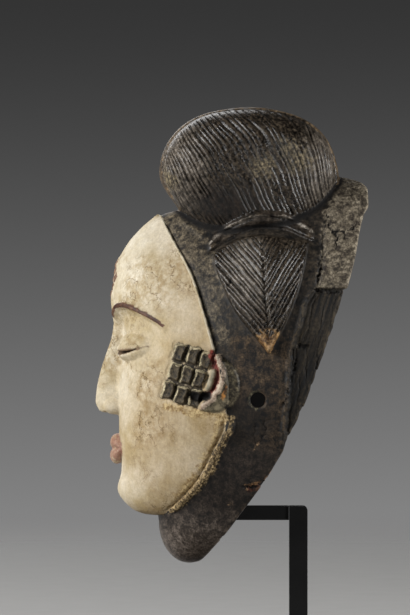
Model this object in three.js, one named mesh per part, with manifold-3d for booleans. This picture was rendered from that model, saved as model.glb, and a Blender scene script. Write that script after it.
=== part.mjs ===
// A carved wooden face mask on its display stand.
// The mask is one hollow block of wood, open at the back: a white face between a dark hair cap and a
// dark collar, with a fluted crest on top and a fluted tress on each side. It hangs on a black steel
// bracket, which a square post carries above a flat foot.
// Millimetres, +Z up. The face looks along -Y and its left side is at +X.
// The origin is the middle of the foot's underside.
import * as THREE from "three";
import { mergeVertices } from "three/addons/utils/BufferGeometryUtils.js";
import Module from "manifold-3d";

// Driving sizes of the mask
const MASK_HEIGHT = 300;
const WALL = 10;
const HOLE_DIAMETER = 10;
const EYE_SLIT_HEIGHT = 1.8;
const FACE_LIFT = 2.2;
const FLUTE_DEPTH = 1.2;

// Driving sizes of the stand
const MASK_ABOVE_FOOT = 50;
const FOOT_LENGTH = 150;
const FOOT_WIDTH = 120;
const FOOT_THICKNESS = 10;
const POST_WIDTH = 12;
const POST_CORNER = 3;
const ARM_HEIGHT = 9.3;
const ARM_WIDTH = 10;
const RISER_WIDTH = 12;
const RISER_LEAN = 0.32;
const SADDLE_LENGTH = 40;
const CLEARANCE = 0.3;
const HANGING_GAP = 3;

// The mask's free form is given in hundredths of its height, from its own lowest point: x to its left,
// y backwards and z up. SHARE is one such hundredth in millimetres.
const SHARE = MASK_HEIGHT / 100;
// MASK_BALANCE is how far the mask stands forward of the foot's middle, ARM_RISE how high the arm's top
// lies and POST_BEHIND how far back the post stands, all in shares.
const MASK_BALANCE = 10;
const ARM_RISE = 12.45;
const POST_BEHIND = 23.97;
const place = (x, y, z) => new THREE.Vector3(x * SHARE, y * SHARE, z * SHARE);

const wasm = await Module();
wasm.setup();

// Small curves

const clamp01 = (t) => Math.min(1, Math.max(0, t));
const ramp = (a, b, t) => {
  const s = clamp01((t - a) / (b - a));
  return s * s * (3 - 2 * s);
};
const mix = (a, b, t) => a + (b - a) * t;
const roundedEnd = (t) => Math.sqrt(1 - (1 - clamp01(t)) ** 2);
const steps = (count) => Array.from({ length: count + 1 }, (_, i) => i / count);

// A smooth curve through stations [at, value] that never swings past them.
function through(stations) {
  const at = stations.map((s) => s[0]);
  const value = stations.map((s) => s[1]);
  const last = at.length - 1;
  const slope = value.slice(1).map((v, i) => (v - value[i]) / (at[i + 1] - at[i]));
  const tangent = value.map((_, i) => {
    if (i === 0) return slope[0];
    if (i === last) return slope[last - 1];
    const [before, after] = [slope[i - 1], slope[i]];
    return before * after <= 0 ? 0 : (2 * before * after) / (before + after);
  });
  return (t) => {
    const x = Math.min(at[last], Math.max(at[0], t));
    let i = 0;
    while (i < last - 1 && x > at[i + 1]) i++;
    const h = at[i + 1] - at[i];
    const s = (x - at[i]) / h;
    return (
      value[i] * (1 + 2 * s) * (1 - s) ** 2 +
      tangent[i] * h * s * (1 - s) ** 2 +
      value[i + 1] * s * s * (3 - 2 * s) +
      tangent[i + 1] * h * s * s * (s - 1)
    );
  };
}

// The value between low and high at which a rising function reaches the target.
function solve(rising, target, low, high) {
  for (let i = 0; i < 40; i++) {
    const middle = (low + high) / 2;
    if (rising(middle) < target) low = middle;
    else high = middle;
  }
  return (low + high) / 2;
}

// The shell: hair cap, head and collar in one, with level sections that are rounded arches

const SHELL_TOP = 84.7;
const ARCH = 2.3;
const COLLAR_ROUND = 9;
const ROOF_ROUND = 6;

const rimBack = through([
  [0, 0.4], [0.44, 2], [1.5, 3.4], [4, 5.6], [8.2, 8.9], [15.9, 14.5], [23.6, 19.4], [31.3, 23.6],
  [40.6, 27.6], [50.1, 30.9], [58.9, 33.7], [66.2, 35.7], [76.2, 38], [78.5, 39.1], [82, 39],
  [83.5, 37.7], [SHELL_TOP, 34],
]);
const frontLine = through([
  [COLLAR_ROUND, -6.8], [12, -7.2], [20, -9.5], [30, -11.3], [45, -12.2], [60, -12.6], [68, -11],
  [74, -8.4], [76.3, -6.4], [77.6, -2.5], [79.5, 8], [82, 22], [SHELL_TOP, 32],
]);
const widthLine = through([
  [0, 10], [5, 11.2], [10, 13.5], [20, 18.7], [30, 22.5], [40, 24.6], [50, 25], [60, 23.4],
  [66, 20.6], [70, 17.6], [74, 14.4], [77, 12.1], [80, 10.2], [SHELL_TOP, 8.6],
]);
const shellFront = (z) => frontLine(z) * roundedEnd(z / COLLAR_ROUND);
const shellWidth = (z) =>
  widthLine(z) * roundedEnd(z / COLLAR_ROUND) * roundedEnd((SHELL_TOP - z) / ROOF_ROUND);

// How far an arch of this half-width, front and back reaches sideways at a depth y.
const archSide = (width, front, back, y) =>
  width * (1 - clamp01((back - y) / (back - front)) ** ARCH) ** (1 / ARCH);
// Where it lies at a distance x from the middle.
const archFront = (width, front, back, x) =>
  back - (back - front) * (1 - clamp01(Math.abs(x) / width) ** ARCH) ** (1 / ARCH);

const shellSide = (y, z) => archSide(shellWidth(z), shellFront(z), rimBack(z), y);

// The hollow: the shell's form made smaller by the wall and run out past the rim

const WALL_SHARE = WALL / SHARE;
const HOLLOW_LOW = 1.4 * WALL_SHARE;
const HOLLOW_HIGH = SHELL_TOP - WALL_SHARE;
const FACE_WALL_SHARE = 0.35;
const inShell = (z) => ((z - HOLLOW_LOW) / (HOLLOW_HIGH - HOLLOW_LOW)) * SHELL_TOP;
const behindFace = (z) => ramp(10, 22, z) * (1 - ramp(60, 74, z));
const hollowFront = (z) =>
  shellFront(inShell(z)) + WALL_SHARE * mix(1, FACE_WALL_SHARE, behindFace(z));
const hollowWidth = (z) => shellWidth(inShell(z)) * (1 - WALL_SHARE / widthLine(50));
const hollowSide = (y, z) => archSide(hollowWidth(z), hollowFront(z), rimBack(z), y);

// The face: its edge is the hairline above the ear and the jaw line below it

const FACE_TOP = 77;
const FACE_LOW = 10.6;
const LIFT = FACE_LIFT / SHARE;
const FACE_THIRD = (FACE_TOP - FACE_LOW) / 3;
const BROW_Z = FACE_TOP - FACE_THIRD;
const NOSE_Z = BROW_Z - FACE_THIRD;
const EYE_Z = BROW_Z - FACE_THIRD / 3;
const MOUTH_Z = NOSE_Z - FACE_THIRD / 3;

const faceEdge = through([
  [FACE_LOW, -5.8], [14.8, -1.3], [19.2, 2.4], [25.6, 5.7], [31, 8], [38, 7.6], [46.4, 5.6],
  [53.5, 3.6], [62.5, 0.8], [65.9, -0.8], [69.6, -2.9], [72.7, -4.5], [76.1, -6.1], [FACE_TOP, -6.6],
]);
const FOREHEAD_Y = -16.8;
const faceFront = through([
  [FACE_LOW, -10.4], [11.6, -12.1], [13.6, -13.5], [17, -14.4], [21, -14.8], [MOUTH_Z, -15.4],
  [NOSE_Z, -15.6], [EYE_Z, -15.7], [BROW_Z + 3, FOREHEAD_Y], [65, -16.1], [70, -13.8], [74, -10.4],
  [76, -8], [FACE_TOP, -7],
]);
const faceWidth = (z) => {
  const back = rimBack(z);
  const unit = archSide(1, faceFront(z), back, faceEdge(z));
  return (shellSide(faceEdge(z), z) + LIFT) / Math.max(unit, 0.1);
};
const browLine = (x) => {
  const s = (Math.abs(x) - 2) / 14;
  return BROW_Z - 2.6 + 4.4 * Math.sin(Math.PI * clamp01(s * 0.86 + 0.08)) ** 0.8;
};
const EYE_X = 8.6;
const socket = (x, z) => {
  const under = browLine(x) - z;
  const across = 1 - ramp(5, 11, Math.abs(Math.abs(x) - EYE_X));
  return 1.5 * ramp(0, 2.4, under) * (1 - ramp(5, 15, under)) * across;
};
const CHIN_Z = FACE_LOW + 5;
const chin = (x, z) => 1.7 * Math.exp(-((x / 5.5) ** 2) - ((z - CHIN_Z) / 3.4) ** 2);
const relief = (x, z) => socket(x, z) - chin(x, z);
const faceAt = (x, z) => archFront(faceWidth(z), faceFront(z), rimBack(z), x) + relief(x, z);
const faceSide = (y, z) => archSide(faceWidth(z), faceFront(z), rimBack(z), y);

// Solids

const middleOf = (ring) =>
  ring.reduce((sum, p) => sum.add(p), new THREE.Vector3()).divideScalar(ring.length);

// A closed skin over rings of equal length, drawn together to a point at each end.
function skin(rings, first = middleOf(rings[0]), last = middleOf(rings[rings.length - 1])) {
  const points = [first, ...rings.flat(), last];
  const size = rings[0].length;
  const end = points.length - 1;
  const index = [];
  const at = (ring, i) => 1 + ring * size + (i % size);
  for (let i = 0; i < size; i++) {
    index.push(0, at(0, i + 1), at(0, i));
    index.push(end, at(rings.length - 1, i), at(rings.length - 1, i + 1));
    for (let ring = 0; ring < rings.length - 1; ring++) {
      index.push(at(ring, i), at(ring, i + 1), at(ring + 1, i + 1));
      index.push(at(ring, i), at(ring + 1, i + 1), at(ring + 1, i));
    }
  }
  return new THREE.BufferGeometry().setFromPoints(points).setIndex(index);
}

// A manifold solid of a closed geometry, turned the right way out.
function solid(geometry) {
  const bare = geometry.clone();
  for (const name of ["normal", "uv"]) bare.deleteAttribute(name);
  const merged = mergeVertices(bare, 1e-3);
  const make = (triVerts) =>
    new wasm.Manifold(
      new wasm.Mesh({
        numProp: 3,
        vertProperties: merged.attributes.position.array,
        triVerts,
      }),
    );
  const made = make(new Uint32Array(merged.index.array));
  return made.volume() > 0 ? made : make(new Uint32Array(merged.index.array).reverse());
}

function geometryOf(made) {
  const mesh = made.getMesh();
  return new THREE.BufferGeometry()
    .setAttribute("position", new THREE.BufferAttribute(mesh.vertProperties, 3))
    .setIndex(new THREE.BufferAttribute(mesh.triVerts, 1));
}

const join = (geometries) => wasm.Manifold.union(geometries.map(solid));
const mirrored = (geometry) => geometry.clone().applyMatrix4(new THREE.Matrix4().makeScale(-1, 1, 1));
const bothSides = (geometry) => [geometry, mirrored(geometry)];

// Level rings of the shell, the hollow and the face. The steps are shorter towards both ends.
const levels = (low, high, count) =>
  steps(count)
    .slice(1, -1)
    .map((t) => mix(low, high, (1 - Math.cos(Math.PI * t)) / 2));

function archRing(z, width, front, back, from, points, shape) {
  const start = Math.acos(clamp01(archSide(1, front, back, from)) ** (ARCH / 2));
  const ring = steps(points).map((t) => {
    const angle = mix(start, Math.PI - start, t);
    const across = Math.cos(angle);
    const x = width * Math.sign(across) * Math.abs(across) ** (2 / ARCH);
    const y = back - (back - front) * Math.sin(angle) ** (2 / ARCH);
    return shape(x, y, z);
  });
  return ring;
}

function shellForm() {
  const rings = levels(0, SHELL_TOP, 22).map((z) =>
    archRing(z, shellWidth(z), shellFront(z), rimBack(z), rimBack(z), 16, place),
  );
  const pole = (z) => place(0, rimBack(z), z);
  return skin(rings, pole(0), pole(SHELL_TOP));
}

function hollowForm() {
  const past = 6;
  const rings = levels(HOLLOW_LOW, HOLLOW_HIGH, 14).map((z) => {
    const [width, back] = [hollowWidth(z), rimBack(z)];
    const arch = archRing(z, width, hollowFront(z), back, back, 12, place);
    return [place(width, back + past, z), ...arch, place(-width, back + past, z)];
  });
  const pole = (z) => place(0, hollowFront(z), z);
  return skin(rings, pole(HOLLOW_LOW), pole(HOLLOW_HIGH));
}

function faceForm() {
  const rings = levels(FACE_LOW, FACE_TOP, 22).map((z) =>
    archRing(z, faceWidth(z), faceFront(z), rimBack(z), faceEdge(z), 20, (x, y, level) =>
      place(x, y + relief(x, level), level),
    ),
  );
  return skin(rings);
}

// A ridge that follows a path of [x, y, z] points, with a radius at each share of its length.
function ridge(path, radius, sides, flatness = 1) {
  const points = path.map((p) => place(...p));
  const rings = points.map((p, i) => {
    const ahead = points[Math.min(i + 1, points.length - 1)];
    const along = ahead.clone().sub(points[Math.max(i - 1, 0)]).normalize();
    const out = new THREE.Vector3(p.x, 0, 0).normalize();
    if (Math.abs(out.dot(along)) > 0.8 || out.length() < 0.5) out.set(0, -1, 0);
    const across = new THREE.Vector3().crossVectors(along, out).normalize();
    const away = new THREE.Vector3().crossVectors(across, along).normalize();
    const r = radius(i / (points.length - 1)) * SHARE;
    return steps(sides)
      .slice(1)
      .map((t) => {
        const a = 2 * Math.PI * t;
        return p
          .clone()
          .addScaledVector(across, r * Math.cos(a))
          .addScaledVector(away, r * flatness * Math.sin(a));
      });
  });
  return skin(rings);
}

// The crest: a thick rounded comb. In side view u runs backwards and v up, each from -1 to 1.

const CREST = { y: 12.9, z: 86, long: 19.45, high: 14.1, deep: 17.5, thick: 15, round: 2.2 };
const CREST_EDGE = { full: 3.6, blunt: 2.6, heel: 1 };
const FLUTES = { along: 15, slant: 5.9, bend: -2.9 };

// The number of the flute that passes a point of the side view.
const quarter = (t) => Math.asin(Math.max(-1, Math.min(1, 0.98 * t)));
const fluteAt = (u, v) => FLUTES.along * quarter(u) + FLUTES.slant * quarter(v) + FLUTES.bend * u * v;
const crestEdge = (angle) => {
  const [c, s] = [Math.cos(angle), Math.sin(angle)];
  const reach = (Math.abs(c) ** CREST.round + Math.abs(s) ** CREST.round) ** (-1 / CREST.round);
  return [c * reach, s * reach];
};
const crestSide = (u, v) => {
  const out = (Math.abs(u) ** CREST.round + Math.abs(v) ** CREST.round) ** (1 / CREST.round);
  return clamp01(1 - out ** CREST_EDGE.full) ** (1 / CREST_EDGE.blunt);
};

function crestPoint(u, v, x, sink) {
  const keep = 1 - sink / (CREST.thick * SHARE);
  const under = ramp(0, 0.5, -v);
  const heel = CREST_EDGE.heel * Math.max(u, 0) * ramp(-0.3, 0.5, -v);
  const y = CREST.y + CREST.long * u * keep * (1 - 0.07 * under) + 0.9 * under + heel;
  const z = CREST.z + (v > 0 ? CREST.high : CREST.deep) * v * keep - heel / 2;
  return place(CREST.thick * x * keep, y, z);
}

// How far the crest reaches sideways at a point of the mask's side view
function crestReach(y, z) {
  const v = (z - CREST.z) / (z > CREST.z ? CREST.high : CREST.deep);
  const under = ramp(0, 0.5, -v);
  const u = (y - CREST.y - 0.9 * under) / (CREST.long * (1 - 0.07 * under));
  return CREST.thick * crestSide(u, v);
}

function crestForm() {
  const edges = steps(720).map((t) => -Math.PI + 2 * Math.PI * t);
  const flute = (angle) => fluteAt(...crestEdge(angle));
  const front = edges.reduce((a, b) => (flute(b) < flute(a) ? b : a));
  const rear = edges.reduce((a, b) => (flute(b) > flute(a) ? b : a));
  const behind = front > 0 ? front - 2 * Math.PI : front;
  const first = Math.ceil(flute(front) * 2) / 2 + 1;
  const last = Math.floor(flute(rear) * 2) / 2 - 1;
  const rings = steps((last - first) * 2).map((t) => {
    const number = mix(first, last, t);
    const onTop = (s) => mix(behind + 2 * Math.PI, rear, s);
    const below = (s) => mix(behind, rear, s);
    const top = crestEdge(onTop(solve((s) => flute(onTop(s)), number, 0, 1)));
    const low = crestEdge(below(solve((s) => flute(below(s)), number, 0, 1)));
    const isFlute = Math.abs(number - Math.round(number)) < 0.25;
    const side = steps(5).map((s) => {
      const v = mix(top[1], low[1], (1 - Math.cos(Math.PI * s)) / 2);
      const u = solve((a) => fluteAt(a, v), number, -1, 1);
      const sink = isFlute ? FLUTE_DEPTH * ramp(0, 0.25, crestSide(u, v)) : 0;
      return { u, v, x: crestSide(u, v), sink };
    });
    const left = side.map((p) => crestPoint(p.u, p.v, p.x, p.sink));
    const right = side.slice(1, -1).reverse();
    return [...left, ...right.map((p) => crestPoint(p.u, p.v, -p.x, p.sink))];
  });
  const tip = (angle) => crestPoint(...crestEdge(angle), 0, 0);
  return skin(rings, tip(front), tip(rear));
}

// The tresses: a leaf-shaped lobe on each side, fluted in herringbone down to its tip

const TRESS = { tip: 46.4, apex: 71.9, edge: 0.8, bulge: 2.4, root: 1.5 };
const HERRING_SLOPE = 1.45;
const HERRING_PITCH = 1.4;

const tressFront = through([
  [TRESS.tip, 17], [50.7, 13.5], [55.6, 9.8], [61.5, 7], [66, 5.3], [69.5, 5], [74, 6],
]);
const tressMiddle = through([
  [TRESS.tip, 17.2], [51.6, 17], [58.9, 16.3], [65.3, 16], [74, 15.4],
]);
const tressRear = through([
  [TRESS.tip, 17.4], [50.7, 19.6], [56.7, 22.3], [63.7, 24.5], [70.8, 25.8], [74, 25.9],
]);
const tressTop = through([
  [4, 66.3], [7, 69], [11, 71.1], [15.4, TRESS.apex], [21, 71.2], [27, 70.6],
]);

function tressOut(y, z) {
  const middle = tressMiddle(z);
  const reach = y < middle ? middle - tressFront(z) : tressRear(z) - middle;
  const across = clamp01(Math.abs(y - middle) / Math.max(reach, 0.01));
  const full = roundedEnd((1 - across) / 0.8) * roundedEnd((tressTop(y) - z) / 3);
  return TRESS.edge + TRESS.bulge * full * mix(0.55, 1, ramp(TRESS.tip, 60, z));
}

function tressForm() {
  const count = Math.floor((TRESS.apex - TRESS.tip) / HERRING_PITCH) * 2;
  const rings = steps(count).map((t) => {
    const apex = mix(TRESS.tip, TRESS.apex, mix(0.015, 0.985, t));
    const isFlute = Math.round(t * count) % 2 === 1;
    const [front, rear] = [-1, 1].map((side) =>
      solve(
        (dy) => {
          const z = apex + HERRING_SLOPE * dy;
          const y = tressMiddle(z) + side * dy;
          const past = side < 0 ? tressFront(z) - y : y - tressRear(z);
          return Math.max(past, z - tressTop(y));
        },
        0,
        0,
        12,
      ),
    );
    const line = [-1, -0.6, 0, 0.6, 1].map((s) => s * (s < 0 ? front : rear));
    const outer = line.map((dy) => {
      const z = apex + HERRING_SLOPE * Math.abs(dy);
      const y = tressMiddle(z) + dy;
      const sink = isFlute || dy === 0 ? FLUTE_DEPTH / SHARE : 0;
      return [shellSide(y, z) + tressOut(y, z) - sink, y, z];
    });
    const inner = [outer[4], outer[0]].map(([, y, z]) => [shellSide(y, z) - TRESS.root, y, z]);
    return [...outer, ...inner].map((p) => place(...p));
  });
  return skin(rings);
}

// The roll of hair that arches over each tress
const rollLine = through([
  [4.2, 69.4], [6.4, 71.4], [10.4, 73.7], [15.4, 75.3], [20.2, 75.1], [24.1, 73.5], [26.9, 71.9],
]);

function rollForm() {
  const path = steps(10).map((t) => {
    const y = mix(4.2, 26.9, t);
    const z = rollLine(y);
    return [Math.max(shellSide(y, z), crestReach(y, z)) - 0.3, y, z];
  });
  return ridge(path, (t) => 0.8 + 0.9 * Math.sin(Math.PI * t) ** 0.6, 6);
}

// The face's own features, set out in thirds of its height

function browForm() {
  const path = steps(8).map((t) => {
    const x = mix(2, 16.4, t);
    const z = browLine(x);
    return [x, faceAt(x, z + 0.4) + 0.1, z];
  });
  return ridge(path, (t) => 0.3 + 0.5 * Math.sin(Math.PI * mix(0.12, 0.96, t)), 5);
}

const NOSE = { root: BROW_Z - 3, low: 3.1, high: 1.3, tip: 4.7 };

function noseForm() {
  const low = NOSE_Z + 0.2;
  const rings = steps(8).map((t) => {
    const z = mix(low, NOSE.root, t);
    const half = mix(NOSE.low, NOSE.high, ramp(0, 0.75, t));
    const out = NOSE.tip * (0.84 + 0.16 * ramp(0, 0.13, t)) * (1 - ramp(0.06, 1.15, t)) ** 0.8;
    const face = faceFront(z);
    const front = steps(7).map((s) => {
      const a = Math.PI * s;
      return place(half * Math.cos(a), face - out * Math.sin(a) ** 1.25 + 0.2, z);
    });
    return [...front, place(-half, face + 2, z), place(half, face + 2, z)];
  });
  return skin(rings);
}

const ball = (x, y, z, rx, ry, rz, around = 8, up = 6) => {
  const matrix = new THREE.Matrix4()
    .makeTranslation(place(x, y, z))
    .scale(new THREE.Vector3(rx, ry, rz).multiplyScalar(SHARE));
  return new THREE.SphereGeometry(1, around, up).applyMatrix4(matrix);
};
const wingForm = () =>
  ball(NOSE.low - 0.2, faceFront(NOSE_Z) - 0.9, NOSE_Z + 1.6, 1.7, 2.3, 1.6, 8, 6);

const LIPS = { half: 5.2, out: 2.1, upper: 1.6, lower: 1.75 };

function lipForm(up) {
  const rings = steps(10).map((t) => {
    const s = mix(-0.97, 0.97, t);
    const x = LIPS.half * s;
    const full = (1 - s * s) ** 0.6;
    const height = (up > 0 ? LIPS.upper : LIPS.lower) * full;
    const bow = up > 0 ? -0.5 * Math.exp(-((x / 1.1) ** 2)) : 0;
    const z = MOUTH_Z + up * (height * 0.93 + 0.08) + bow - 0.25 * (1 - full);
    const y = faceAt(x, MOUTH_Z) - LIPS.out * full * 0.3;
    return steps(7)
      .slice(1)
      .map((q) => {
        const a = 2 * Math.PI * q;
        const out = LIPS.out * (0.3 + 0.4 * full) * Math.sin(a);
        return place(x, y - out, z + height * Math.cos(a));
      });
  });
  return skin(rings);
}

const EYE = { half: 5.1, high: 3, out: 2.1, slit: 4.3, sag: 0.9 };
const lidForm = () =>
  ball(EYE_X, faceAt(EYE_X, EYE_Z) + 0.3, EYE_Z, EYE.half, EYE.out, EYE.high, 10, 7);

// A curved slit cut right through the wood below the middle of each lid
function slitForm() {
  const half = EYE_SLIT_HEIGHT / SHARE / 2;
  const line = (x) => EYE_Z - 0.3 - EYE.sag * (1 - (x / EYE.slit) ** 2);
  const outline = steps(6).map((t) => EYE.slit * (2 * t - 1));
  const edge = (side) => outline.map((x) => [x, line(x) + side * half * (1.05 - (x / EYE.slit) ** 2)]);
  const corners = [...edge(-1), ...edge(1).reverse()];
  const shape = new THREE.Shape(
    corners.map(([x, z]) => new THREE.Vector2((EYE_X + x) * SHARE, z * SHARE)),
  );
  const deep = { depth: 20 * SHARE, bevelEnabled: false };
  const upright = new THREE.Matrix4().makeRotationX(Math.PI / 2);
  const back = new THREE.Matrix4().makeTranslation(0, -5 * SHARE, 0);
  return new THREE.ExtrudeGeometry(shape, deep).applyMatrix4(back.multiply(upright));
}

// A block that stands on a face or side surface, turned in the surface's own plane
function blockOn(point, normal, size, turn) {
  const up = new THREE.Vector3(0, 0, 1);
  const along = new THREE.Vector3().crossVectors(up, normal).normalize();
  const over = new THREE.Vector3().crossVectors(normal, along);
  const matrix = new THREE.Matrix4()
    .makeBasis(along, over, normal)
    .multiply(new THREE.Matrix4().makeRotationZ(turn))
    .setPosition(point);
  return new THREE.BoxGeometry(...size.map((length) => length * SHARE)).applyMatrix4(matrix);
}

function normalOf(surface, a, b) {
  const small = 0.5;
  const along = surface(a + small, b).sub(surface(a - small, b));
  const over = surface(a, b + small).sub(surface(a, b - small));
  return new THREE.Vector3().crossVectors(along, over).normalize();
}

// Nine raised blocks before each ear, in a grid that leans forward
const SCARS = { y: -0.4, z: 41.8, across: 2.9, down: 4.4, wide: 2.3, tall: 3.5, high: 0.6 };
const SCAR_TURN = (16 * Math.PI) / 180;

function templeScars() {
  const surface = (y, z) => place(faceSide(y, z), y, z);
  const [c, s] = [Math.cos(SCAR_TURN), Math.sin(SCAR_TURN)];
  const made = [];
  for (const column of [-1, 0, 1]) {
    for (const row of [-1, 0, 1]) {
      const y = SCARS.y + SCARS.across * column * c + SCARS.down * row * s;
      const z = SCARS.z + SCARS.down * row * c - SCARS.across * column * s;
      const size = [SCARS.wide, SCARS.tall, SCARS.high * 2];
      made.push(blockOn(surface(y, z), normalOf(surface, y, z), size, -SCAR_TURN));
    }
  }
  return made;
}

// Nine scales in a lozenge on the brow
const BROW_SCARS = { z: BROW_Z + 8, pitch: 2.3, size: 1.9, high: 0.35 };

function foreheadScars() {
  const surface = (x, z) => place(x, faceAt(x, z), z);
  const made = [];
  for (const column of [-1, 0, 1]) {
    for (const row of [-1, 0, 1]) {
      const x = (BROW_SCARS.pitch * (column - row)) / Math.SQRT2;
      const z = BROW_SCARS.z + (BROW_SCARS.pitch * (column + row)) / Math.SQRT2;
      const size = [BROW_SCARS.size, BROW_SCARS.size, BROW_SCARS.high * 2];
      made.push(blockOn(surface(x, z), normalOf(surface, x, z), size, Math.PI / 4));
    }
  }
  return made;
}

// The ear: a broad C-shaped helix behind a low upright boss
const EAR = { y: 5, z: 40.1, wide: 4.3, tall: 5.6, from: 1.4, to: -2.1 };

function earForms() {
  const path = steps(8).map((t) => {
    const angle = mix(EAR.from, EAR.to, t);
    const y = EAR.y + EAR.wide * Math.cos(angle);
    const z = EAR.z + EAR.tall * Math.sin(angle);
    return [Math.max(shellSide(y, z), y < faceEdge(z) ? faceSide(y, z) : 0) + 0.6, y, z];
  });
  const helix = ridge(path, (t) => 0.5 + 1.1 * Math.sin(Math.PI * t) ** 0.8, 6);
  const side = faceSide(EAR.y - 0.8, EAR.z);
  return [helix, ball(side - 0.1, EAR.y - 0.8, EAR.z + 0.3, 0.9, 1.1, 2.4)];
}

// The welt that borders the jaw, from ear to ear under the chin
function weltForm() {
  const behind = 0.75;
  const path = steps(20).map((t) => {
    const side = 2 * t - 1;
    const z = mix(FACE_LOW, 32, Math.abs(side) ** 1.3);
    const y = faceEdge(z) + behind;
    return [Math.sign(side) * shellSide(y, z - 0.6), y, z - 0.6];
  });
  return ridge(path, () => 0.9, 5);
}

const HOLE = { y: 14.8, z: 36.2 };
function holeForm() {
  const reach = 60 * SHARE;
  const matrix = new THREE.Matrix4()
    .makeTranslation(place(0, HOLE.y, HOLE.z))
    .multiply(new THREE.Matrix4().makeRotationZ(Math.PI / 2));
  const radius = HOLE_DIAMETER / 2;
  return new THREE.CylinderGeometry(radius, radius, reach, 16).applyMatrix4(matrix);
}

function maskSolid() {
  const carved = [
    shellForm(),
    faceForm(),
    crestForm(),
    noseForm(),
    lipForm(1),
    lipForm(-1),
    weltForm(),
    ...foreheadScars(),
    ...[tressForm(), rollForm(), browForm(), wingForm(), lidForm()].flatMap(bothSides),
    ...[...templeScars(), ...earForms()].flatMap(bothSides),
  ];
  const cuts = [hollowForm(), holeForm(), ...bothSides(slitForm())];
  return join(carved).subtract(join(cuts));
}

// The stand

const MASK_Z = FOOT_THICKNESS + MASK_ABOVE_FOOT;
const MASK_Y = -MASK_BALANCE * SHARE;
const ARM_TOP = MASK_Z + ARM_RISE * SHARE;
const ARM_LOW = ARM_TOP - ARM_HEIGHT;
const POST_Y = MASK_Y + POST_BEHIND * SHARE;

// The riser leans back with the mask's rim and passes behind the side holes.
const riserY = (z) => MASK_Y + HOLE.y * SHARE + RISER_LEAN * (z - MASK_Z - HOLE.z * SHARE);

// The bracket, one bar bent and welded: an arm from the post to the inside of the chin, a riser, and a
// saddle under the roof of the hollow, on which the mask hangs.
function bracketGeometry() {
  const inHollow = (y, z) => {
    const [shareY, shareZ] = [(y - MASK_Y) / SHARE, (z - MASK_Z) / SHARE];
    if (shareZ < HOLLOW_LOW || shareZ > HOLLOW_HIGH) return false;
    return hollowSide(shareY, shareZ) * SHARE > ARM_WIDTH / 2 + HANGING_GAP;
  };
  const middle = MASK_Z + MASK_HEIGHT * 0.45;
  const roofAt = (y) => solve((z) => (inHollow(y, z) ? -1 : 1), 0, middle, MASK_Z + MASK_HEIGHT);
  const chinAt = (z) => -solve((y) => (inHollow(-y, z) ? -1 : 1), 0, -riserY(z), MASK_HEIGHT);
  const reach = Math.max(chinAt(ARM_LOW), chinAt(ARM_TOP)) + HANGING_GAP;
  const saddleLow = (y) => roofAt(y) - HANGING_GAP - ARM_HEIGHT;
  const meet = (side) =>
    solve((z) => (z < saddleLow(riserY(z) + side) ? -1 : 1), 0, middle, MASK_Z + MASK_HEIGHT);
  const half = RISER_WIDTH / 2;
  const [frontZ, backZ] = [meet(-half), meet(half)];
  const [frontY, backY] = [riserY(frontZ) - half, riserY(backZ) + half];
  const saddle = steps(8).map((t) => riserY(backZ) + SADDLE_LENGTH * (t - 0.5));
  const under = saddle.map((y) => [y, saddleLow(y)]);
  const outline = [
    [reach, ARM_LOW],
    [POST_Y - POST_WIDTH / 2 - CLEARANCE, ARM_LOW],
    [POST_Y - POST_WIDTH / 2 - CLEARANCE, ARM_TOP],
    [riserY(ARM_TOP) + half, ARM_TOP],
    [backY, backZ],
    ...under.filter(([y]) => y > backY + 1),
    ...saddle.map((y) => [y, roofAt(y) - HANGING_GAP]).reverse(),
    ...under.filter(([y]) => y < frontY - 1),
    [frontY, frontZ],
    [riserY(ARM_TOP) - half, ARM_TOP],
    [reach, ARM_TOP],
  ];
  const shape = new THREE.Shape(outline.map(([y, z]) => new THREE.Vector2(y, z)));
  const bar = new THREE.ExtrudeGeometry(shape, { depth: ARM_WIDTH, bevelEnabled: false });
  return bar.applyMatrix4(sideways(ARM_WIDTH));
}

// Turns a shape drawn in side view, y across and z up, so that it is extruded across the stand.
function sideways(width) {
  return new THREE.Matrix4()
    .makeBasis(new THREE.Vector3(0, 1, 0), new THREE.Vector3(0, 0, 1), new THREE.Vector3(1, 0, 0))
    .setPosition(-width / 2, 0, 0);
}

// The post: a square bar with its top back corner rounded off
function postGeometry() {
  const low = FOOT_THICKNESS + CLEARANCE;
  const [front, back] = [POST_Y - POST_WIDTH / 2, POST_Y + POST_WIDTH / 2];
  const shape = new THREE.Shape();
  shape.moveTo(front, low);
  shape.lineTo(back, low);
  shape.lineTo(back, ARM_TOP - POST_CORNER);
  shape.absarc(back - POST_CORNER, ARM_TOP - POST_CORNER, POST_CORNER, 0, Math.PI / 2);
  shape.lineTo(front, ARM_TOP);
  shape.closePath();
  const bar = new THREE.ExtrudeGeometry(shape, {
    depth: POST_WIDTH,
    bevelEnabled: false,
    curveSegments: 5,
  });
  return bar.applyMatrix4(sideways(POST_WIDTH));
}

// The foot: a flat plate
function footGeometry() {
  const plate = new THREE.BoxGeometry(FOOT_WIDTH, FOOT_LENGTH, FOOT_THICKNESS);
  return plate.translate(0, 0, FOOT_THICKNESS / 2);
}

function named(name, geometry, material) {
  const mesh = new THREE.Mesh(geometry, material);
  mesh.name = name;
  return mesh;
}

const wood = new THREE.MeshStandardMaterial({ color: "#8d7f6c", roughness: 0.7, metalness: 0 });
const steel = new THREE.MeshStandardMaterial({ color: "#1b1b1c", roughness: 0.55, metalness: 0 });

const mask = named("mask", geometryOf(maskSolid()), wood);
mask.position.set(0, MASK_Y, MASK_Z);

const maskOnStand = new THREE.Group();
maskOnStand.add(mask);
maskOnStand.add(named("stand_bracket", bracketGeometry(), steel));
maskOnStand.add(named("stand_post", postGeometry(), steel));
maskOnStand.add(named("stand_foot", footGeometry(), steel));

export default maskOnStand;
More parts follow.
